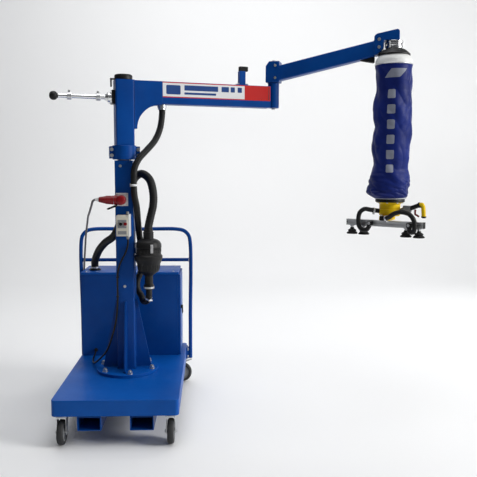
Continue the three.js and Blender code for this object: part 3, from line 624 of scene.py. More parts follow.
for k in range(4):
    t = math.radians(20 + 90 * k)
    c_, s_ = math.cos(t), math.sin(t)
    for r_, z0, z1, w_ in ((82.5, 1094, 1150, 9), (85, 1124, 1146, 6)):
        for w0 in (-w_,):
            a_ = Vector((FX + r_ * c_, FY + r_ * s_, 0))
            d_ = Vector((-s_, c_, 0))
            n_ = Vector((c_, s_, 0))
            P_ = [a_ - d_ * w_, a_ + d_ * w_, a_ + d_ * w_ + n_ * 3, a_ - d_ * w_ + n_ * 3]
            m.raw([(v.x, v.y, z0) for v in P_] + [(v.x, v.y, z1) for v in P_], [(3, 2, 1, 0), (4, 5, 6, 7), (0, 1, 5, 4), (1, 2, 6, 5), (2, 3, 7, 6), (3, 0, 4, 7)])
make("filter_clips", m, "steel", bevel=0.8, slot="zinc")
m = Mesh().box(59.3, 76, -30, 12, 1079, 1117)
bolt(m, (59.3, 6, 1140), (1, 0, 0), 7, 5)
m.box(59.3, 63, -2, 14, 1112, 1150)
make("filter_bracket", m, "blue", bevel=1.5, slot="blue_paint")


def clamp(name, c, d, r, body="trolley", T=T0, mat="zinc"):
    d = Vector(d).normalized()
    q = d.to_track_quat("Z", "Y")
    m = Mesh()
    o = []
    n = 48
    for rr, h in ((r, -6), (r + 1.6, -6), (r + 1.6, 6), (r, 6)):
        for i in range(n):
            t = 2 * math.pi * i / n
            o.append(Vector(c) + q @ Vector((rr * math.cos(t), rr * math.sin(t), h)))
    f = [(k * n + i, k * n + (i + 1) % n, ((k + 1) % 4) * n + (i + 1) % n, ((k + 1) % 4) * n + i) for k in range(4) for i in range(n)]
    m.raw(o, f)
    e = Vector(c) + q @ Vector((0, -(r + 6), 0))
    s = q @ Vector((1, 0, 0))
    m.rod(e - s * 11, e + s * 11, 4.6, 18)
    m.rod(e + s * 11, e + s * 15, 6.5, 6)
    return make(name, m, mat, T=T, body=body, bevel=0.4, slot="zinc")


PH = [(FX, FY, 1221.3), (FX, FY, 1250), (166, -50, 1310), (186, -42, 1400), (186, -26, 1480), (158, 18, 1568), (101, 72, 1603), (54, 102, 1575), (14, 116, 1480), (-34, 122, 1330), (-96, 160, 1185), (-180, 260, 1117), (-246, 360, 1040), (-282, 425, 960), (-285, 442, 925), (-285, 442, 898.3)]
m = Mesh().sweep([(FX, FY, 1190)] + PH, 27, 32, 2.6, 2.0, 11)
make("pump_hose_ribbed", m, "hose", nodes="pump_hose", slot="black_rubber", smooth=80)
clamp("pump_hose_clamp_filter", (FX, FY, 1234), (0, 0, 1), 27.5)
m = Mesh().lathe([(26.5, 1219), (35, 1219), (35, 1224), (31, 1226), (30, 1243), (26.5, 1244), (26.5, 1219)], 56, FX, FY)
m.f = m.f[:-2]
make("filter_top_cuff", m, "black", bevel=0.6, slot="black_plastic")
clamp("pump_hose_clamp_cabinet", (-285, 442, 917), (0, 0, 1), 27.5)
m = Mesh().lathe([(24, 898), (44, 898), (44, 903), (33, 905), (33, 910), (24, 910)], 56, -285, 442)
make("cabinet_port", m, "black", bevel=0.6, slot="black_plastic")
BH = [(241.6, 71.6, 2034.8), (241.6, 71.6, 2000), (228, 55, 1900), (196, 18, 1820), (148, -26, 1758), (100, -66, 1700), (74, -83, 1640), (68, -84, 1560), (70, -83, 1470), (81.5, -62, 1390), (84, -20, 1290), (87, 30, 1190), (97, 76, 1100), (102, 94, 1010), (84, 97, 935), (62, 92, 872), (65, 89, 818), (92, 64, 776), (112, 14, 751), (142, -30, 766), (FX, FY, 806), (FX, FY, 846.7)]
m = Mesh().sweep([(241.6, 71.6, 2052)] + BH + [(FX, FY, 864)], 21.5, 32, 2.4, 1.8, 10)
make("boom_hose_ribbed", m, "hose", nodes="boom_hose", slot="black_rubber", smooth=80,
     blend=("mast", "trolley", tuple(T0 @ Vector((0.2416, 0.0716, 2.0))), tuple(T0 @ Vector((0.2416, 0.0716, 1.60)))))
clamp("boom_hose_clamp_filter", (FX, FY, 858), (0, 0, 1), 33.3)
clamp("boom_hose_clamp_bend", (150, -44, 786), (0.3, -0.5, 0.85), 22)
m = Mesh()
cv = spline([Vector((68.6 + 23.4 * math.cos(t), -84 + 23.4 * math.sin(t), 1531)) for t in np.linspace(0, 2 * math.pi, 33)], 3)
lo_, hi_ = [(v.x, v.y, v.z - 7) for v in cv[:-1]], [(v.x, v.y, v.z + 7) for v in cv[:-1]]
n = len(lo_)
m.raw(lo_ + hi_, [(i, (i + 1) % n, n + (i + 1) % n, n + i) for i in range(n)])
m.box(40, 60, -63, -59.3, 1520, 1542)
o = make("hose_saddle", m, "label_white", slot="white_plastic")
sm = o.modifiers.new("t", "SOLIDIFY")
sm.thickness = 0.002

# ------------------------------------------------------------------ casters
def quarter(cx, cy, q):
    # local u across the wheel, v along its trail; a caster with q set has swung a quarter turn
    return (lambda u, v, z: (cx + v, cy - u, z)) if q else (lambda u, v, z: (cx + u, cy + v, z))


for n, cx, cy, off, q in (("front_left", -324, -525, -20, 0), ("front_right", 324, -525, -20, 0), ("rear_left", -324, 598, 14, 0), ("rear_right", 324, 598, 14, 1)):
    bn = n.replace("_", " ")
    at, top = quarter(cx, cy, q), 181.7
    m = Mesh().plate(rrect(cx - 40, cx + 40, cy - 40, cy + 40, 6, 4), top - 6, top)
    m.lathe([(36, top - 22), (38, top - 18), (38, top - 10), (34, top - 6)], 40, cx, cy)
    for d in (-1, 1):
        uu = d * 27
        pr = [(-34, top - 14), (34, top - 14), (off + 17, 80), (off + 13, 64), (off, 58), (off - 13, 64), (off - 17, 80)]
        g = Mesh().side(pr, uu - 2.2, uu + 2.2)
        m.raw([at(p[1], p[0], p[2]) for p in g.v], g.f)
    g = Mesh().box(-29, 29, -34, 34, top - 22, top - 12)
    m.raw([at(*p) for p in g.v], g.f)
    make("fork_" + n, m, "zinc", body="caster " + bn, nodes="caster_fork_" + n, bevel=1.2, slot="zinc")
    m = Mesh().rod(at(-29, off, 75), at(29, off, 75), 6, 20)
    for d in (-1, 1):
        e0, e1 = Vector(at(29 * d, off, 75)), Vector(at(30 * d, off, 75))
        bolt(m, tuple(e0), tuple(e1 - e0), 9, 6)
    for sx in (-29, 29):
        for sy in (-29, 29):
            bolt(m, (cx + sx, cy + sy, top - 6), (0, 0, -1), 6, 4)
    make("axle_" + n, m, "zinc", body="caster " + bn, bevel=0.5, slot="zinc")
    tyre, rim = Mesh(), Mesh()
    for part, pr in ((tyre, [(53, -18), (66, -19.5), (72, -15), (75, -7), (75, 7), (72, 15), (66, 19.5), (53, 18), (53, -18)]), (rim, [(8, -19), (22, -19), (24, -14), (46, -12), (49, -16.5), (52.8, -17), (52.8, 17), (49, 16.5), (46, 12), (24, 14), (22, 19), (8, 19), (8, -19)])):
        L = Mesh().lathe(pr, 64)
        L.f = L.f[:-2]
        part.raw([at(p[2], off + p[0], 75 + p[1]) for p in L.v], L.f)
    for k in range(5):
        t = 2 * math.pi * k / 5
        for s in (-1, 1):
            rim.rod(at(s * 12, off + 35 * math.cos(t), 75 + 35 * math.sin(t)), at(s * 14.5, off + 35 * math.cos(t), 75 + 35 * math.sin(t)), 6, 16)
    make("tyre_" + n, tyre, "tyre", body="wheel " + bn, nodes="caster_wheel_" + n, slot="grey_tyre")
    make("rim_" + n, rim, "grey", body="wheel " + bn, bevel=0.6, slot="grey_plastic")
for n, cx, cy, q in (("left", -324, 598, 0), ("right", 324, 598, 1)):
    at = quarter(cx, cy, q)
    m = Mesh().rod(at(-18, 48, 164), at(18, 48, 164), 6, 20)
    g = Mesh().side([(42, 168), (66, 170), (78, 176), (90, 177), (90, 174), (79, 172), (67, 165), (42, 163)], -18, 18)
    m.raw([at(p[1], p[0], p[2]) for p in g.v], g.f)
    for k in range(4):
        m.rod(at(-15, 77 + k * 4, 176.4), at(15, 77 + k * 4, 176.4), 1.3, 8)
    make("pedal_" + n, m, "zinc", body="brake pedal " + n, nodes="brake_pedal_" + n, bevel=0.8, slot="zinc")

# ------------------------------------------------------------------ mast (local X along the boom, camera side is -Y)
MB = dict(T=TM, body="mast")
m = hollow(rrect(-59, 59, -59, 59, 9, 5), rrect(-50, 50, -50, 50, 6, 5), 1787.3, 2205)
make("mast_tube", m, "blue", nodes="mast_head", slot="blue_paint", **MB)
m = Mesh().lathe([(0.01, 2205.3), (56, 2205.3), (58, 2208), (58, 2230), (55, 2237), (48, 2240), (0.01, 2240)], 64)
make("mast_lid", m, "black", nodes="mast_cap", bevel=0.6, slot="black_plastic", **MB)
m = Mesh().box(-84, -40, -14, 14, 2205.3, 2214).box(-84, -76, -14, 14, 2160, 2214)
make("mast_lid_strap", m, "black", bevel=1.5, slot="black_plastic", **MB)
m = Mesh().lathe([(49, 1696), (76, 1696), (78, 1699), (78, 1784), (76, 1787), (49, 1787), (49, 1696)], 64)
m.f = m.f[:-2] if len(m.f[-1]) > 4 else m.f
make("collar_ring", m, "blue", nodes="slew_collar", bevel=1, slot="blue_paint", **MB)
m = Mesh().box(-98, -70, -24, -2, 1702, 1781).box(-98, -70, 2, 24, 1702, 1781).box(70, 98, -24, -2, 1702, 1781).box(70, 98, 2, 24, 1702, 1781)
make("collar_lugs", m, "blue", bevel=2, slot="blue_paint", **MB)
m = Mesh()
for k in (-1, 1):
    for z in (1722, 1761):
        bolt(m, (k * 86, -24, z), (0, -1, 0), 9, 7)
        bolt(m, (k * 86, 24, z), (0, 1, 0), 9, 7, shank=5)
        m.rod((k * 86, -24, z), (k * 86, 24, z), 5, 16)
make("collar_bolts", m, "zinc", bevel=0.5, slot="zinc", **MB)

ZB, ZT, W = 2058, 2204, 50
m = hollow([(p[0], p[1]) for p in rrect(-W, W, ZB, ZT, 8, 5)], [(p[0], p[1]) for p in rrect(-W + 4, W - 4, ZB + 4, ZT - 4, 5, 5)], 59.3, 1003)
g = Mesh()
g.v, g.f = [(p[2], p[0], p[1]) for p in m.v], m.f
make("boom_tube", g, "blue", nodes="boom_beam", slot="blue_paint", **MB)
arch = [(59.3, ZT - 1), (59.3, 1896), (66, 1896)]
for i in range(0, 17):
    a = math.radians(90 * i / 16)
    arch.append((73.3 + 168 * (1 - math.cos(a)), 1896 + 162 * math.sin(a)))
arch += [(244, ZB + 2), (244, ZT - 1)]
m = Mesh()
for y0, y1 in ((-W - 4, -W + 0.5), (W - 0.5, W + 4)):
    m.side(arch, y0, y1)
make("boom_cheeks", m, "blue", bevel=0.9, slot="blue_paint", **MB)
# web closing the arch, so that the bracket reads as one box
m = Mesh()
n = 16
pts = [(73.3 + 168 * (1 - math.cos(math.radians(90 * i / n))), 1896 + 162 * math.sin(math.radians(90 * i / n))) for i in range(n + 1)]
v = [(x, -W, z) for x, z in pts] + [(x, W, z) for x, z in pts] + [(x + 3.5 * math.cos(0), -W, z + 3.5) for x, z in pts] + [(x + 3.5, W, z + 3.5) for x, z in pts]
k = n + 1
f = [(i, i + 1, k + i + 1, k + i) for i in range(n)]
m.raw(v[: 2 * k], f)
o = make("boom_arch_web", m, "blue", slot="blue_paint", **MB)
s = o.modifiers.new("t", "SOLIDIFY")
s.thickness = 0.004
m = Mesh()
for s in (-1, 1):
    m.sweep([(61, s * 55, 1900), (61, s * 55, 2050), (61, s * 55, 2200)], 3.0, 6, 3, 1.0, 7)
    m.sweep([(244.5, s * 52, 2062), (244.5, s * 52, 2130), (244.5, s * 52, 2200)], 2.6, 6, 3, 0.9, 7)
    m.sweep([(999, s * 47, 2064), (1001, s * 44, 2130), (999, s * 47, 2200)], 2.6, 6, 3, 0.9, 7)
m.sweep([(61, -50, 2204), (61, 50, 2204)], 2.6, 6, 3, 0.9, 7)
make("boom_welds", m, "blue", slot="blue_paint", **MB)
m = Mesh().lathe([(24.5, 2036.5), (31, 2036.5), (31, 2057), (24.5, 2057), (24.5, 2036.5)], 48, 252, 0)
m.f = m.f[:-2] if len(m.f[-1]) > 4 else m.f
make("boom_spigot", m, "zinc", bevel=0.6, slot="zinc", **MB)
clamp("boom_spigot_clamp", (252, 0, 2030), (0, 0, 1), 25.5, body="mast", T=TM)


def panel(name, s0, s1, z0, z1, y, mat, th=0.5, r=3, **kw):
    g = Mesh()
    h = Mesh().plate(rrect(s0, s1, z0, z1, r, 4), 0, th)
    g.v = [(p[0], y - p[2], p[1]) for p in h.v]
    g.f = h.f
    return make(name, g, mat, **kw)


# adhesive panels on both faces of the boom: pale field, red edge and end block, plain bars for wording
for side, yy in (("near", -W), ("far", W)):
    sg = -1 if side == "near" else 1

    def pan(nm, s0, s1, z0, z1, mat, lift):
        g = Mesh()
        h = Mesh().plate(rrect(s0, s1, z0, z1, 2.0, 3), 0, 0.35)
        g.v = [(p[0], yy + sg * (p[2] + lift), p[1]) for p in h.v]
        g.f = h.f
        make(nm, g, mat, **MB)

    pan("label_border_" + side, 236, 1000, 2102, 2201, "label_red", 0.05)
    pan("label_field_" + side, 242, 812, 2108, 2195, "label_white", 0.25)
    pan("label_block_" + side, 812, 996, 2106, 2197, "label_red", 0.30)
    pan("label_block_inner_" + side, 986, 991, 2110, 2193, "label_dark", 0.42)
    bars = Mesh()
    for x0, x1 in ((392, 624), (648, 700), (712, 742), (762, 792)):
        h = Mesh().plate(rrect(x0, x1, 2150, 2184, 3, 3), 0, 0.3)
        bars.raw([(p[0], yy + sg * (p[2] + 0.55), p[1]) for p in h.v], h.f)
    h = Mesh().plate(rrect(392, 610, 2124, 2138, 3, 3), 0, 0.3)
    bars.raw([(p[0], yy + sg * (p[2] + 0.55), p[1]) for p in h.v], h.f)
    make("label_bars_" + side, bars, "label_blue", **MB)
    h = Mesh().plate(rrect(270, 366, 2122, 2182, 8, 4), 0, 0.3)
    g = Mesh().raw([(p[0], yy + sg * (p[2] + 0.55), p[1]) for p in h.v], h.f)
    make("label_mark_" + side, g, "label_blue", **MB)

# elbow tube, stop and its buffer
m = Mesh().lathe([(22.8, 2060), (37, 2060), (39, 2062), (39, 2229.7), (37, 2231.7), (22.8, 2231.7), (22.8, 2060)], 64, 1043, 0)
m.f = m.f[:-2] if len(m.f[-1]) > 4 else m.f
make("elbow_sleeve", m, "blue", nodes="elbow_tube", bevel=0.8, slot="blue_paint", **MB)
m = Mesh().lathe([(0.01, 2062), (21, 2062), (21, 2078), (0.01, 2079)], 40, 1043, 0)
m.hexnut((1043, 0, 2066), (1043, 0, 2050.5), 14)
make("elbow_end_nut", m, "zinc", bevel=0.6, slot="zinc", **MB)
m = Mesh().box(786, 830, -20, 20, 2204.3, 2300).box(770, 846, -30, 30, 2204.3, 2212)
make("stop_bracket", m, "blue", nodes="stop_post", bevel=2, slot="blue_paint", **MB)
m = Mesh()
for sx in (777, 839):
    for sy in (-21, 21):
        bolt(m, (sx, sy, 2212), (0, 0, 1), 6, 4)
make("stop_bolts", m, "zinc", bevel=0.4, slot="zinc", **MB)
m = Mesh().box(788, 850, -16, 16, 2299, 2332)
make("stop_rubber", m, "rubber", bevel=6, seg=4, slot="black_rubber", **MB)

# turning handle
m = Mesh().box(-81, -59.3, -38, 38, 2050, 2138)
make("tail_plate", m, "black", nodes="tail_bracket", bevel=2.5, slot="black_plastic", **MB)
m = Mesh().rod((-79, 0, 2092), (-104, 0, 2092), 34, 56).rod((-104, 0, 2092), (-121, 0, 2092), 30, 56, 20)
make("tail_flange", m, "chrome", bevel=2, slot="chrome", **MB)
m = Mesh()
for z in (2062, 2122):
    for y in (-26, 26):
        bolt(m, (-81, y, z), (-1, 0, 0), 8, 6, shank=4)
make("tail_bolts", m, "zinc", bevel=0.5, slot="zinc", **MB)
m = Mesh().rod((-118, 0, 2092), (-412, 0, 2092), 14, 40)
make("tail_bar", m, "chrome", nodes="tail_rod", bevel=1, slot="chrome", **MB)
for i, x in enumerate((-150, -330)):
    m = Mesh().rod((x, 0, 2092), (x - 26, 0, 2092), 24, 48)
    g = Mesh().box(x - 20, x - 6, -6, 6, 2112, 2130)
    g.rod((x - 13, -12, 2124), (x - 13, 12, 2124), 4.5, 16)
    make(f"tail_collar_{i}", m, "zinc", bevel=1.5, slot="chrome", **MB)
    make(f"tail_collar_ear_{i}", g, "zinc", bevel=0.8, slot="chrome", **MB)
m = Mesh().lathe([(0.01, 412.3), (14, 412.3), (15, 416), (22, 421), (26.5, 428), (28.5, 438), (27, 448), (22, 457), (13, 463.5), (0.01, 466)], 64)
g = Mesh().raw([(-p[2], p[0], 2092 + p[1]) for p in m.v], m.f)
make("tail_ball", g, "black", T=TM, body="tail knob", nodes="tail_knob", slot="black_plastic")

# ------------------------------------------------------------------ forearm (local X along it)
FBk = dict(T=TF, body="forearm")
tn = math.tan(math.radians(12.1))
cs = math.cos(math.radians(12.1))
zl = lambda x: 2286 + x * tn
m = Mesh().side([(-48, 2232), (48, 2232), (48, 2375), (-24, 2375), (-48, 2343)], -47, 47)
make("elbow_block", m, "blue", nodes="elbow_hub", bevel=4, seg=3, slot="blue_paint", **FBk)
m = Mesh().rod((0, 0, 2080), (0, 0, 2233), 21.4, 40)
make("elbow_pin", m, "steel", slot="steel", **FBk)
m = Mesh()
bolt(m, (0, 0, 2375), (0, 0, 1), 13, 9)
for z in (2262, 2345):
    bolt(m, (20, -47, z), (0, -1, 0), 7, 5)
    bolt(m, (20, 47, z), (0, 1, 0), 7, 5)
make("elbow_bolts", m, "zinc", bevel=0.5, slot="zinc", **FBk)
q = rrect(-44, 44, -49, 49, 8, 5)
qi = rrect(-40, 40, -45, 45, 5, 5)
m = hollow(q, qi, 0, 1)
g = Mesh()
for p in m.v:
    x = 44.3 if p[2] == 0 else 683
    g.v.append((x, p[0], zl(x) + p[1] / cs))
g.f = m.f
make("forearm_tube", g, "blue", nodes="forearm_beam", slot="blue_paint", **FBk)
m = Mesh()
for x in (46, 682):
    ringp = [(x, p[0] * 1.03, zl(x) + p[1] / cs * 1.03) for p in q + q[:1]]
    m.sweep(ringp, 2.6, 6, 3, 0.9, 7)
make("forearm_welds", m, "blue", slot="blue_paint", **FBk)
hw = 47
m = Mesh().side([(683.3, 2390), (702, 2390), (745, 2432), (748, 2483), (847, 2483), (847, 2538), (842, 2547), (832, 2552), (704, 2528), (690, 2520), (683.3, 2508)], -hw, hw)
make("head_block", m, "blue", nodes="forearm_head", bevel=4, seg=3, slot="blue_paint", **FBk)
m = Mesh()
bolt(m, (813, 0, 2546), (0, 0, 1), 9, 5)
for z in (2440, 2490):
    bolt(m, (716, -hw, z), (0, -1, 0), 8, 6)
    bolt(m, (716, hw, z), (0, 1, 0), 8, 6)
make("head_bolts", m, "zinc", bevel=0.5, slot="zinc", **FBk)
m = Mesh().side([(590, 2361.5), (640, 2352), (678, 2345), (687, 2350), (687, 2382), (683, 2381.6)], -26, 26)
make("duct_box", m, "rubber", nodes="vacuum_duct", bevel=5, seg=3, slot="black_rubber", **FBk)

# ------------------------------------------------------------------ swivel head
SB = dict(T=TG, body="swivel")
m = Mesh().lathe([(0.01, 2428.3), (52, 2428.3), (55, 2431), (55, 2448), (52, 2451), (50, 2452), (50, 2460), (52, 2461), (55, 2464), (55, 2480), (52, 2482.7), (0.01, 2482.7)], 72)
make("swivel_drum", m, "chrome", nodes="swivel_joint", bevel=0.6, slot="chrome", **SB)
m = Mesh()
for k in range(6):
    t = math.radians(60 * k + 20)
    m.rod((57 * math.cos(t), 57 * math.sin(t), 2436), (57 * math.cos(t), 57 * math.sin(t), 2476), 4.5, 14)
make("swivel_studs", m, "zinc", bevel=0.8, slot="chrome", **SB)
m = Mesh().lathe([(0.01, 2386.3), (103, 2386.3), (106, 2388), (106, 2394), (98, 2402), (80, 2418), (64, 2427), (60, 2428), (0.01, 2428)], 80)
make("swivel_cone", m, "black", nodes="swivel_hood", slot="black_plastic", **SB)
m = Mesh().lathe([(0.01, 2317.3), (120, 2317.3), (122, 2320), (122, 2332), (120.5, 2336), (120, 2348), (117, 2358), (110, 2370), (102, 2380), (98, 2386), (0.01, 2386)], 80)
make("tube_dome", m, "white", nodes="tube_collar", bevel=0.5, slot="white_plastic", **SB)
m = Mesh().sweep([Vector((124 * math.cos(t), 124 * math.sin(t), 2326)) for t in np.linspace(0, 2 * math.pi, 73)], 3.2, 10, 5)
make("tube_band", m, "zinc", slot="zinc", **SB)

# ------------------------------------------------------------------ the lifting tube: a thin coated fabric over a spiral, gathered as it shortens
cloth = NT("blue_tube_fabric")
uv = cloth.c.outputs["UV"]
def wave(scale, direction, vec):
    w = cloth.n.new("ShaderNodeTexWave")
    w.bands_direction = direction
    w.inputs["Scale"].default_value = scale
    w.inputs["Distortion"].default_value = 0.4
    w.inputs["Detail"].default_value = 1.0
    cloth.l.new(vec, w.inputs["Vector"])
    return w.outputs["Fac"]
fine = cloth.noise(900, 2)
crease_and_sheen = cloth.noise(15, 6, 0.62, None, 0.6)
blot = cloth.noise(5, 4, 0.5)
wx, wz = wave(240, "X", uv), wave(240, "Y", uv)
weave = cloth.math("ADD", cloth.math("MULTIPLY", wx, wz), cloth.math("MULTIPLY", fine, 0.5))
base = cloth.mix(cloth.map(blot, 0, 1, 0.35, 0.7), (0.0025, 0.010, 0.105), (0.0045, 0.018, 0.17))
# lighter blue where the crease noise is high: painted highlight on the fold crests; the same noise also drives the fold
# bump and roughness
base = cloth.mix(cloth.map(crease_and_sheen, 0, 0.25, 0.62, 0.82), base, (0.008, 0.035, 0.25))
attr = cloth.n.new("ShaderNodeAttribute")
attr.attribute_name = "print"
base = cloth.mix(cloth.map(attr.outputs["Fac"], 0.0, 0.85, 0.25, 0.75), base, (0.27, 0.29, 0.34))
seam = cloth.n.new("ShaderNodeAttribute")
seam.attribute_name = "seam"
base = cloth.mix(cloth.math("MULTIPLY", seam.outputs["Fac"], 0.6), base, (0.004, 0.010, 0.06))
nr = cloth.bump(weave, 0.10, 0.0003)
nr = cloth.bump(crease_and_sheen, 0.22, 0.005, nr)
cloth.set(Coat_Weight=0.0, Sheen_Weight=0.02, Sheen_Roughness=0.4, Specular_IOR_Level=0.16)
cloth.p.inputs["Sheen Tint"].default_value = (0.2, 0.3, 0.85, 1)
M["fabric"] = cloth.out(Base_Color=base, Roughness=cloth.map(crease_and_sheen, 0.42, 0.60), Normal=nr)

def z_of(y):
    v = y - 238.5
    return 1651 - 4455 * (71.16 + 0.9941 * v) / (651.8 - 0.1085 * v) - 0

LEFT = [(62, 119), (66, 120), (68, 121), (74, 116), (81, 112), (91, 110), (97, 116), (102, 121), (109, 126), (117, 121), (126, 114), (135, 123), (144, 130), (151, 127), (158, 121), (164, 117), (169, 124), (176, 138), (185, 150), (191, 148), (195, 140), (199, 128)]
RIGHT = [(62, 119), (68, 119), (74, 121), (81, 125), (91, 121), (102, 128), (109, 130), (118, 131), (127, 132), (135, 128), (144, 124), (151, 121), (158, 118), (164, 108), (168, 104), (172, 110), (176, 117), (181, 116), (187, 112), (195, 110), (199, 106)]
LZ, LR = [z_of(y) for y, _ in LEFT][::-1], [r for _, r in LEFT][::-1]
RZ, RR = [z_of(y) for y, _ in RIGHT][::-1], [r for _, r in RIGHT][::-1]
NT_, NZ = 300, 400
ZS0, ZS1 = 1443.0, 2322.0
phi0 = math.radians(-2.31) - BT          # the camera's right, in the gripper's local frame
rng = np.random.default_rng(7)
V, UVS, PR, SE = [], [], [], []
gather = lambda z: min(1.0, max(0.0, (1640 - z) / 130.0))
ridge = lambda q: 1 - abs(noise.noise(q)) * 2.2
for i in range(NZ + 1):
    z = ZS0 + (ZS1 - ZS0) * i / NZ
    rl, rr = np.interp(z, LZ, LR), np.interp(z, RZ, RR)
    g = gather(z)
    e = min(1.0, (z - ZS0) / 30.0, (ZS1 - z) / 60.0)
    e = max(0.0, e)
    tw = (z - 1440) * 0.0017
    for k in range(NT_):
        t = 2 * math.pi * k / NT_
        cphi = math.cos(t - phi0)
        r = 0.5 * (rl + rr) + 0.5 * (rr - rl) * cphi
        x, y = math.cos(t), math.sin(t)
        xs, ys = math.cos(t + tw), math.sin(t + tw)
        # long drags running round the tube, soft bellies between them, short creases
        d1 = noise.noise(Vector((xs * 1.1 + 3.1, ys * 1.1, z * 0.0042)))
        d2 = noise.noise(Vector((xs * 0.9 + 8.0, ys * 0.9 + 7.7, z * 0.0125 + 0.9 * x)))
        b1 = abs(noise.noise(Vector((xs * 1.15 + 1.7, ys * 1.15, z * 0.0048 + 0.5 * y))))
        b2 = abs(noise.noise(Vector((x * 0.9 + 5.3, y * 0.9 + 2.2, z * 0.0105 + 1.2 * xs))))
        d3 = noise.noise(Vector((xs * 4.0 + 1.3, ys * 4.0, z * 0.016)))
        w = 5.0 * d1 + 4.0 * d2 + 17.0 * math.sqrt(b1 * b1 + 0.0009) + 11.0 * math.sqrt(b2 * b2 + 0.0009) - 6.0 + 1.0 * d3
        # the gathered part: a few deep rolls, each dying out part-way round
        g1 = abs(noise.noise(Vector((x * 0.8 + 2.0, y * 0.8, z * 0.0175 + 0.8 * xs))))
        g2 = abs(noise.noise(Vector((x * 1.1 + 9.0, y * 1.1, z * 0.031 + 1.0 * ys))))
        g3 = noise.noise(Vector((x * 3.0, y * 3.0 + 4.0, z * 0.03)))
        w += g * (26.0 * math.sqrt(g1 * g1 + 0.0008) + 15.0 * math.sqrt(g2 * g2 + 0.0008) - 9.0 + 2.0 * g3)
        w -= 0.5
        rr2 = r + w * e
        if z > ZS1 - 40:
            q_ = (z - (ZS1 - 40)) / 40
            rr2 = rr2 * (1 - q_ * q_) + 122.6 * q_ * q_
        if z < ZS0 + 26:
            q_ = 1 - (z - ZS0) / 26
            rr2 = rr2 * (1 - q_ * q_) + 104 * q_ * q_
        zz = z + e * (3.0 * d3 * g)
        V.append((rr2 * x, rr2 * y, zz))
        PR.append(0.0)
        SE.append(0.0)
F = []
for i in range(NZ):
    for k in range(NT_):
        j = (k + 1) % NT_
        F.append((i * NT_ + k, i * NT_ + j, (i + 1) * NT_ + j, (i + 1) * NT_ + k))
me = bpy.data.meshes.new("lifting_tube_fabric")
me.from_pydata([(a / 1000, b / 1000, c / 1000) for a, b, c in V], [], F)
uvl = me.uv_layers.new(name="UVMap")
loops = np.zeros(len(me.loops), dtype=np.int64)
me.loops.foreach_get("vertex_index", loops)
uvd = np.zeros((len(loops), 2))
for li, vi in enumerate(loops):
    i, k = divmod(int(vi), NT_)
    if (li % 4) in (1, 2) and k == 0:
        k = NT_
    uvd[li] = (k / NT_ * 0.76, i / NZ * 1.2)
uvl.data.foreach_set("uv", uvd.ravel())
# plain print: a row of blank pale tabs down the front, and a darker joining seam on the back
front = (-math.pi / 2 - math.radians(2.31) - BT)
zs = np.array([v[2] for v in V])
for idx, (vx, vy, vz) in enumerate(V):
    t = math.atan2(vy, vx)
    da = (t - (front + 0.10) + math.pi) % (2 * math.pi) - math.pi
    s = da * 120
    for zc, hh, ww in ((2262, 28, 52), (2128, 30, 25), (2030, 30, 25), (1932, 30, 25), (1834, 30, 25), (1736, 30, 25), (1644, 26, 25)):
        top_ = zc > 2200
        sk = s + (26 if top_ else 48) - (vz - zc) * (0.9 if top_ else 0.0)
        # rounded corners: distance outside the inset rectangle
        rc = 3 if top_ else 9
        dx_, dz_ = max(0.0, abs(sk) - (ww - rc)), max(0.0, abs(vz - zc) - (hh - rc))
        if math.hypot(dx_, dz_) < rc:
            PR[idx] = 1.0 if top_ else 0.8
    db = (t - front - math.pi + math.pi) % (2 * math.pi) - math.pi
    if abs(db) < 0.035:
        SE[idx] = 1.0
for nm_, arr in (("print", PR), ("seam", SE)):
    at = me.attributes.new(nm_, "FLOAT", "POINT")
    at.data.foreach_set("value", np.array(arr, np.float32))
me.transform(TG)
for p in me.polygons:
    p.use_smooth = True
me.materials.append(M["fabric"])
tube = bpy.data.objects.new("lifting_tube_fabric", me)
bpy.context.scene.collection.objects.link(tube)
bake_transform(tube)
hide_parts("lift_sleeve")

# ------------------------------------------------------------------ gripper
GB = dict(T=TG, body="gripper")
m = Mesh().lathe([(88, 1441), (105, 1441), (108, 1446), (108, 1462), (105, 1466), (88, 1466), (88, 1441)], 72)
m.f = m.f[:-2] if len(m.f[-1]) > 4 else m.f
make("tube_hem", m, plastic("hem_webbing", (0.42, 0.43, 0.45), 0.7, 500, 0.3), bevel=1.5, slot="fabric", **GB)
m = Mesh().lathe([(0.01, 1418), (94, 1418), (98, 1421), (98, 1437), (96, 1440.7), (0.01, 1440.7)], 72)
make("valve_flange", m, "black", nodes="valve_body", bevel=0.8, slot="black_plastic", **GB)
m = Mesh().lathe([(0.01, 1325), (64, 1325), (70, 1331), (70, 1340), (78, 1342), (80, 1345), (80, 1368), (78, 1371), (70, 1373), (70, 1404), (76, 1410), (86, 1414), (92, 1418), (0.01, 1418)], 96)
make("valve_drum", m, "yellow", bevel=0.8, slot="yellow_plastic", **GB)
m = Mesh().box(-34, 34, -98, 18, 1298.5, 1328)
make("valve_foot", m, "yellow", bevel=4, seg=3, slot="yellow_plastic", **GB)
m = Mesh()
for k in range(8):
    t = math.radians(45 * k + 11)
    bolt(m, (86 * math.cos(t), 86 * math.sin(t), 1418), (0, 0, -1), 6, 5)
for sx in (-24, 24):
    for sy in (-90, -66):
        bolt(m, (sx, sy, 1328), (0, 0, 1), 6, 4)
make("valve_bolts", m, "zinc", bevel=0.4, slot="zinc", **GB)
by = -78
prof = [(-21, -21), (-5, -21), (-5, -17), (-9, -17), (-9, -11), (9, -11), (9, -17), (5, -17), (5, -21), (21, -21), (21, -5), (17, -5), (17, -9), (11, -9), (11, 9), (17, 9), (17, 5), (21, 5), (21, 21), (5, 21), (5, 17), (9, 17), (9, 11), (-9, 11), (-9, 17), (-5, 17), (-5, 21), (-21, 21), (-21, 5), (-17, 5), (-17, 9), (-11, 9), (-11, -9), (-17, -9), (-17, -5), (-21, -5)]
m = Mesh()
n = len(prof)
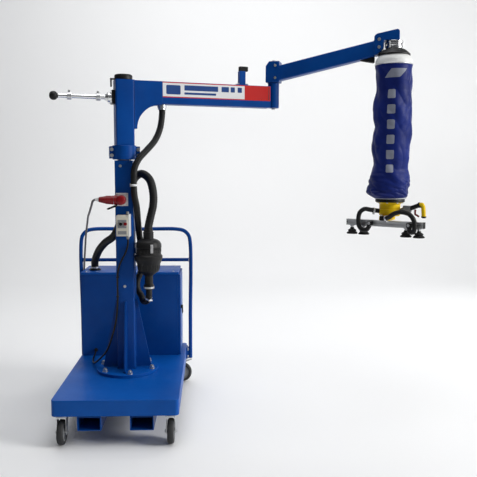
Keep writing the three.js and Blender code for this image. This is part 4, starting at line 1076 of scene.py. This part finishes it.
m.raw([(-270, by + p[0], 1277 + p[1]) for p in prof] + [(270, by + p[0], 1277 + p[1]) for p in prof], [tuple(range(n)), tuple(range(2 * n - 1, n - 1, -1))] + [(i, (i + 1) % n, n + (i + 1) % n, n + i) for i in range(n)])
make("slotted_bar", m, "alu", nodes="suction_bar", bevel=0.5, smooth=30, slot="aluminium", **GB)
m = Mesh().box(-272.5, -270, by - 21, by + 21, 1256, 1298).box(270, 272.5, by - 21, by + 21, 1256, 1298)
make("bar_end_caps", m, "black", bevel=1, slot="black_plastic", **GB)
for i, x in enumerate((-238, -150, 150, 238)):
    m = Mesh().lathe([(0.01, 1201), (24, 1200), (30, 1197), (33, 1195), (36, 1195.2), (38, 1197.5), (36, 1203), (30, 1209), (25, 1212), (28, 1216), (30, 1219), (28, 1222), (22, 1226), (16, 1230), (13, 1234), (13, 1240), (0.01, 1241)], 56, x, by)
    make(f"cup_lip_{i + 1}", m, "rubber", nodes=f"suction_cup_{i + 1}", slot="black_rubber", **GB)
    m = Mesh().rod((x, by, 1239), (x, by, 1250), 11, 6).rod((x, by, 1249), (x, by, 1256), 15, 32)
    make(f"cup_fitting_{i + 1}", m, "zinc", bevel=0.8, slot="zinc", **GB)
for nm, x, pts in (("left", -92, [(-46, -50, 1357), (-92, -98, 1366), (-130, -122, 1371), (-158, -131, 1348), (-167, -134, 1300), (-160, -132, 1254), (-136, -129, 1231), (-108, -124, 1235), (-92, by - 37, 1263)]),
                   ("right", 184, [(15, by - 37, 1314), (44, -122, 1322), (86, -130, 1350), (136, -134, 1362), (190, -134, 1350), (222, -134, 1312), (228, -132, 1266), (218, -128, 1236), (196, -122, 1234), (184, by - 37, 1263)])):
    m = Mesh().sweep(pts, 16, 32, 2.2, 1.8, 9)
    make("feed_tube_" + nm, m, "hose", nodes="feed_hose_" + nm, slot="black_rubber", smooth=80, **GB)
    m = Mesh().box(x - 16, x + 16, by - 53, by - 21.3, 1262, 1291)
    make("feed_elbow_" + nm, m, "black", bevel=4, seg=3, slot="black_plastic", **GB)
    m = Mesh().rod((x, by - 53, 1277), (x, by - 56, 1277), 11, 6)
    m.rod((x, by - 37, 1262), (x, by - 37, 1256), 15, 6)
    make("feed_nut_" + nm, m, "zinc", bevel=0.6, slot="zinc", **GB)
    a_ = Vector(pts[0])
    clamp("feed_clamp_" + nm, a_.lerp(Vector(pts[1]), 0.72 if nm == "left" else 0.3), Vector(pts[1]) - a_, 16.4, body="gripper", T=TG)
m = Mesh().box(-16, 16, by - 53, by - 20.3, 1299, 1329)
make("feed_elbow_body", m, "black", bevel=4, seg=3, slot="black_plastic", **GB)
# side arm with the squeeze control
m = Mesh().box(97, 150, -16, 16, 1352, 1398).rod((66, 0, 1357), (100, 0, 1374), 14, 28)
make("control_block", m, "grey", nodes="control_arm", bevel=4, seg=3, slot="grey_plastic", **GB)
m = Mesh().rod((146, 0, 1380), (206, 0, 1404), 15, 32).rod((203, 0, 1402.8), (212, 0, 1406.4), 19, 32)
make("control_neck", m, "black", bevel=1.5, slot="black_plastic", **GB)
m = Mesh().sweep([(208, 0, 1405), (222, 0, 1408), (231, 0, 1396), (235, 0, 1370), (238, 0, 1330)], 15, 32, 3, 1.6, 9)
make("control_grip_sleeve", m, "yellow", slot="yellow_plastic", **GB)
m = Mesh().lathe([(0.01, 1318), (10, 1319), (16, 1324), (18, 1331), (0.01, 1332)], 40, 238, 0)
make("control_grip_end", m, "black", bevel=0.8, slot="black_plastic", **GB)
m = Mesh().sweep([(180, 0, 1374), (178, 0, 1352), (180, 0, 1342), (190, 0, 1337), (206, 0, 1328)], 6.5, 18, 3)
make("squeeze_lever", m, "red", T=TG, body="control lever", nodes="control_lever", slot="red_plastic")

# ------------------------------------------------------------------ studio
st = NT("studio_floor")
fl = st.noise(2.2, 3)
st.out(Base_Color=st.mix(st.map(fl, 0.0, 0.4), (0.88, 0.885, 0.893), (0.90, 0.905, 0.912)), Roughness=st.map(fl, 0.5, 0.6))
def cyclorama():
    pr = [(-9, 0)] + [(7.0 - 2.5 + 2.5 * math.sin(a), 2.5 - 2.5 * math.cos(a)) for a in np.linspace(0, math.pi / 2, 24)] + [(7.0, 11)]
    v = [(-14, y, z) for y, z in pr] + [(14, y, z) for y, z in pr]
    k = len(pr)
    me = bpy.data.meshes.new("backdrop")
    me.from_pydata(v, [], [(i, k + i, k + i + 1, i + 1) for i in range(k - 1)])
    for p in me.polygons:
        p.use_smooth = True
    me.materials.append(st.m)
    o = bpy.data.objects.new("backdrop", me)
    bpy.context.scene.collection.objects.link(o)
    return o
stage = [cyclorama()]


def area(name, loc, target, size, power, color=(1, 1, 1)):
    d = bpy.data.lights.new(name, "AREA")
    d.energy, d.color, d.shape = power, color, "RECTANGLE"
    d.size, d.size_y = size
    o = bpy.data.objects.new(name, d)
    bpy.context.scene.collection.objects.link(o)
    o.location = loc
    o.rotation_euler = (Vector(target) - Vector(loc)).to_track_quat("-Z", "Y").to_euler()
    return o


area("key", (9.0, -3.0, 4.4), (0.0, 0, 1.2), (3.4, 3.4), 800, (1, 0.99, 0.97))
area("top", (-0.4, -0.4, 6.4), (-0.4, 0, 0), (4.0, 3.5), 150)
area("wall", (-0.5, 2.6, 6.2), (-0.5, 7.0, 1.2), (6.0, 1.2), 130)
area("rim", (3.8, 3.6, 2.6), (0, 0, 1.2), (2.2, 2.2), 25)
w = bpy.data.worlds.new("studio")
bpy.context.scene.world = w
w.use_nodes = True
wt = w.node_tree
tc = wt.nodes.new("ShaderNodeTexCoord")
sep = wt.nodes.new("ShaderNodeSeparateXYZ")
wt.links.new(tc.outputs["Generated"], sep.inputs["Vector"])


def wmath(op, a, b):
    n = wt.nodes.new("ShaderNodeMath")
    n.operation = op
    for sck, v in ((n.inputs[0], a), (n.inputs[1], b)):
        if isinstance(v, (int, float)):
            sck.default_value = v
        else:
            wt.links.new(v, sck)
    return n.outputs["Value"]


ux = wmath("MAXIMUM", sep.outputs["X"], 0.0)
uz = wmath("MAXIMUM", sep.outputs["Z"], 0.0)
stg = wmath("ADD", wmath("MULTIPLY", ux, 0.16), wmath("ADD", wmath("MULTIPLY", uz, 0.22), 0.035))
wt.nodes["Background"].inputs["Color"].default_value = (0.92, 0.94, 0.97, 1)
wt.links.new(stg, wt.nodes["Background"].inputs["Strength"])
bpy.context.scene.view_settings.view_transform = "Standard"
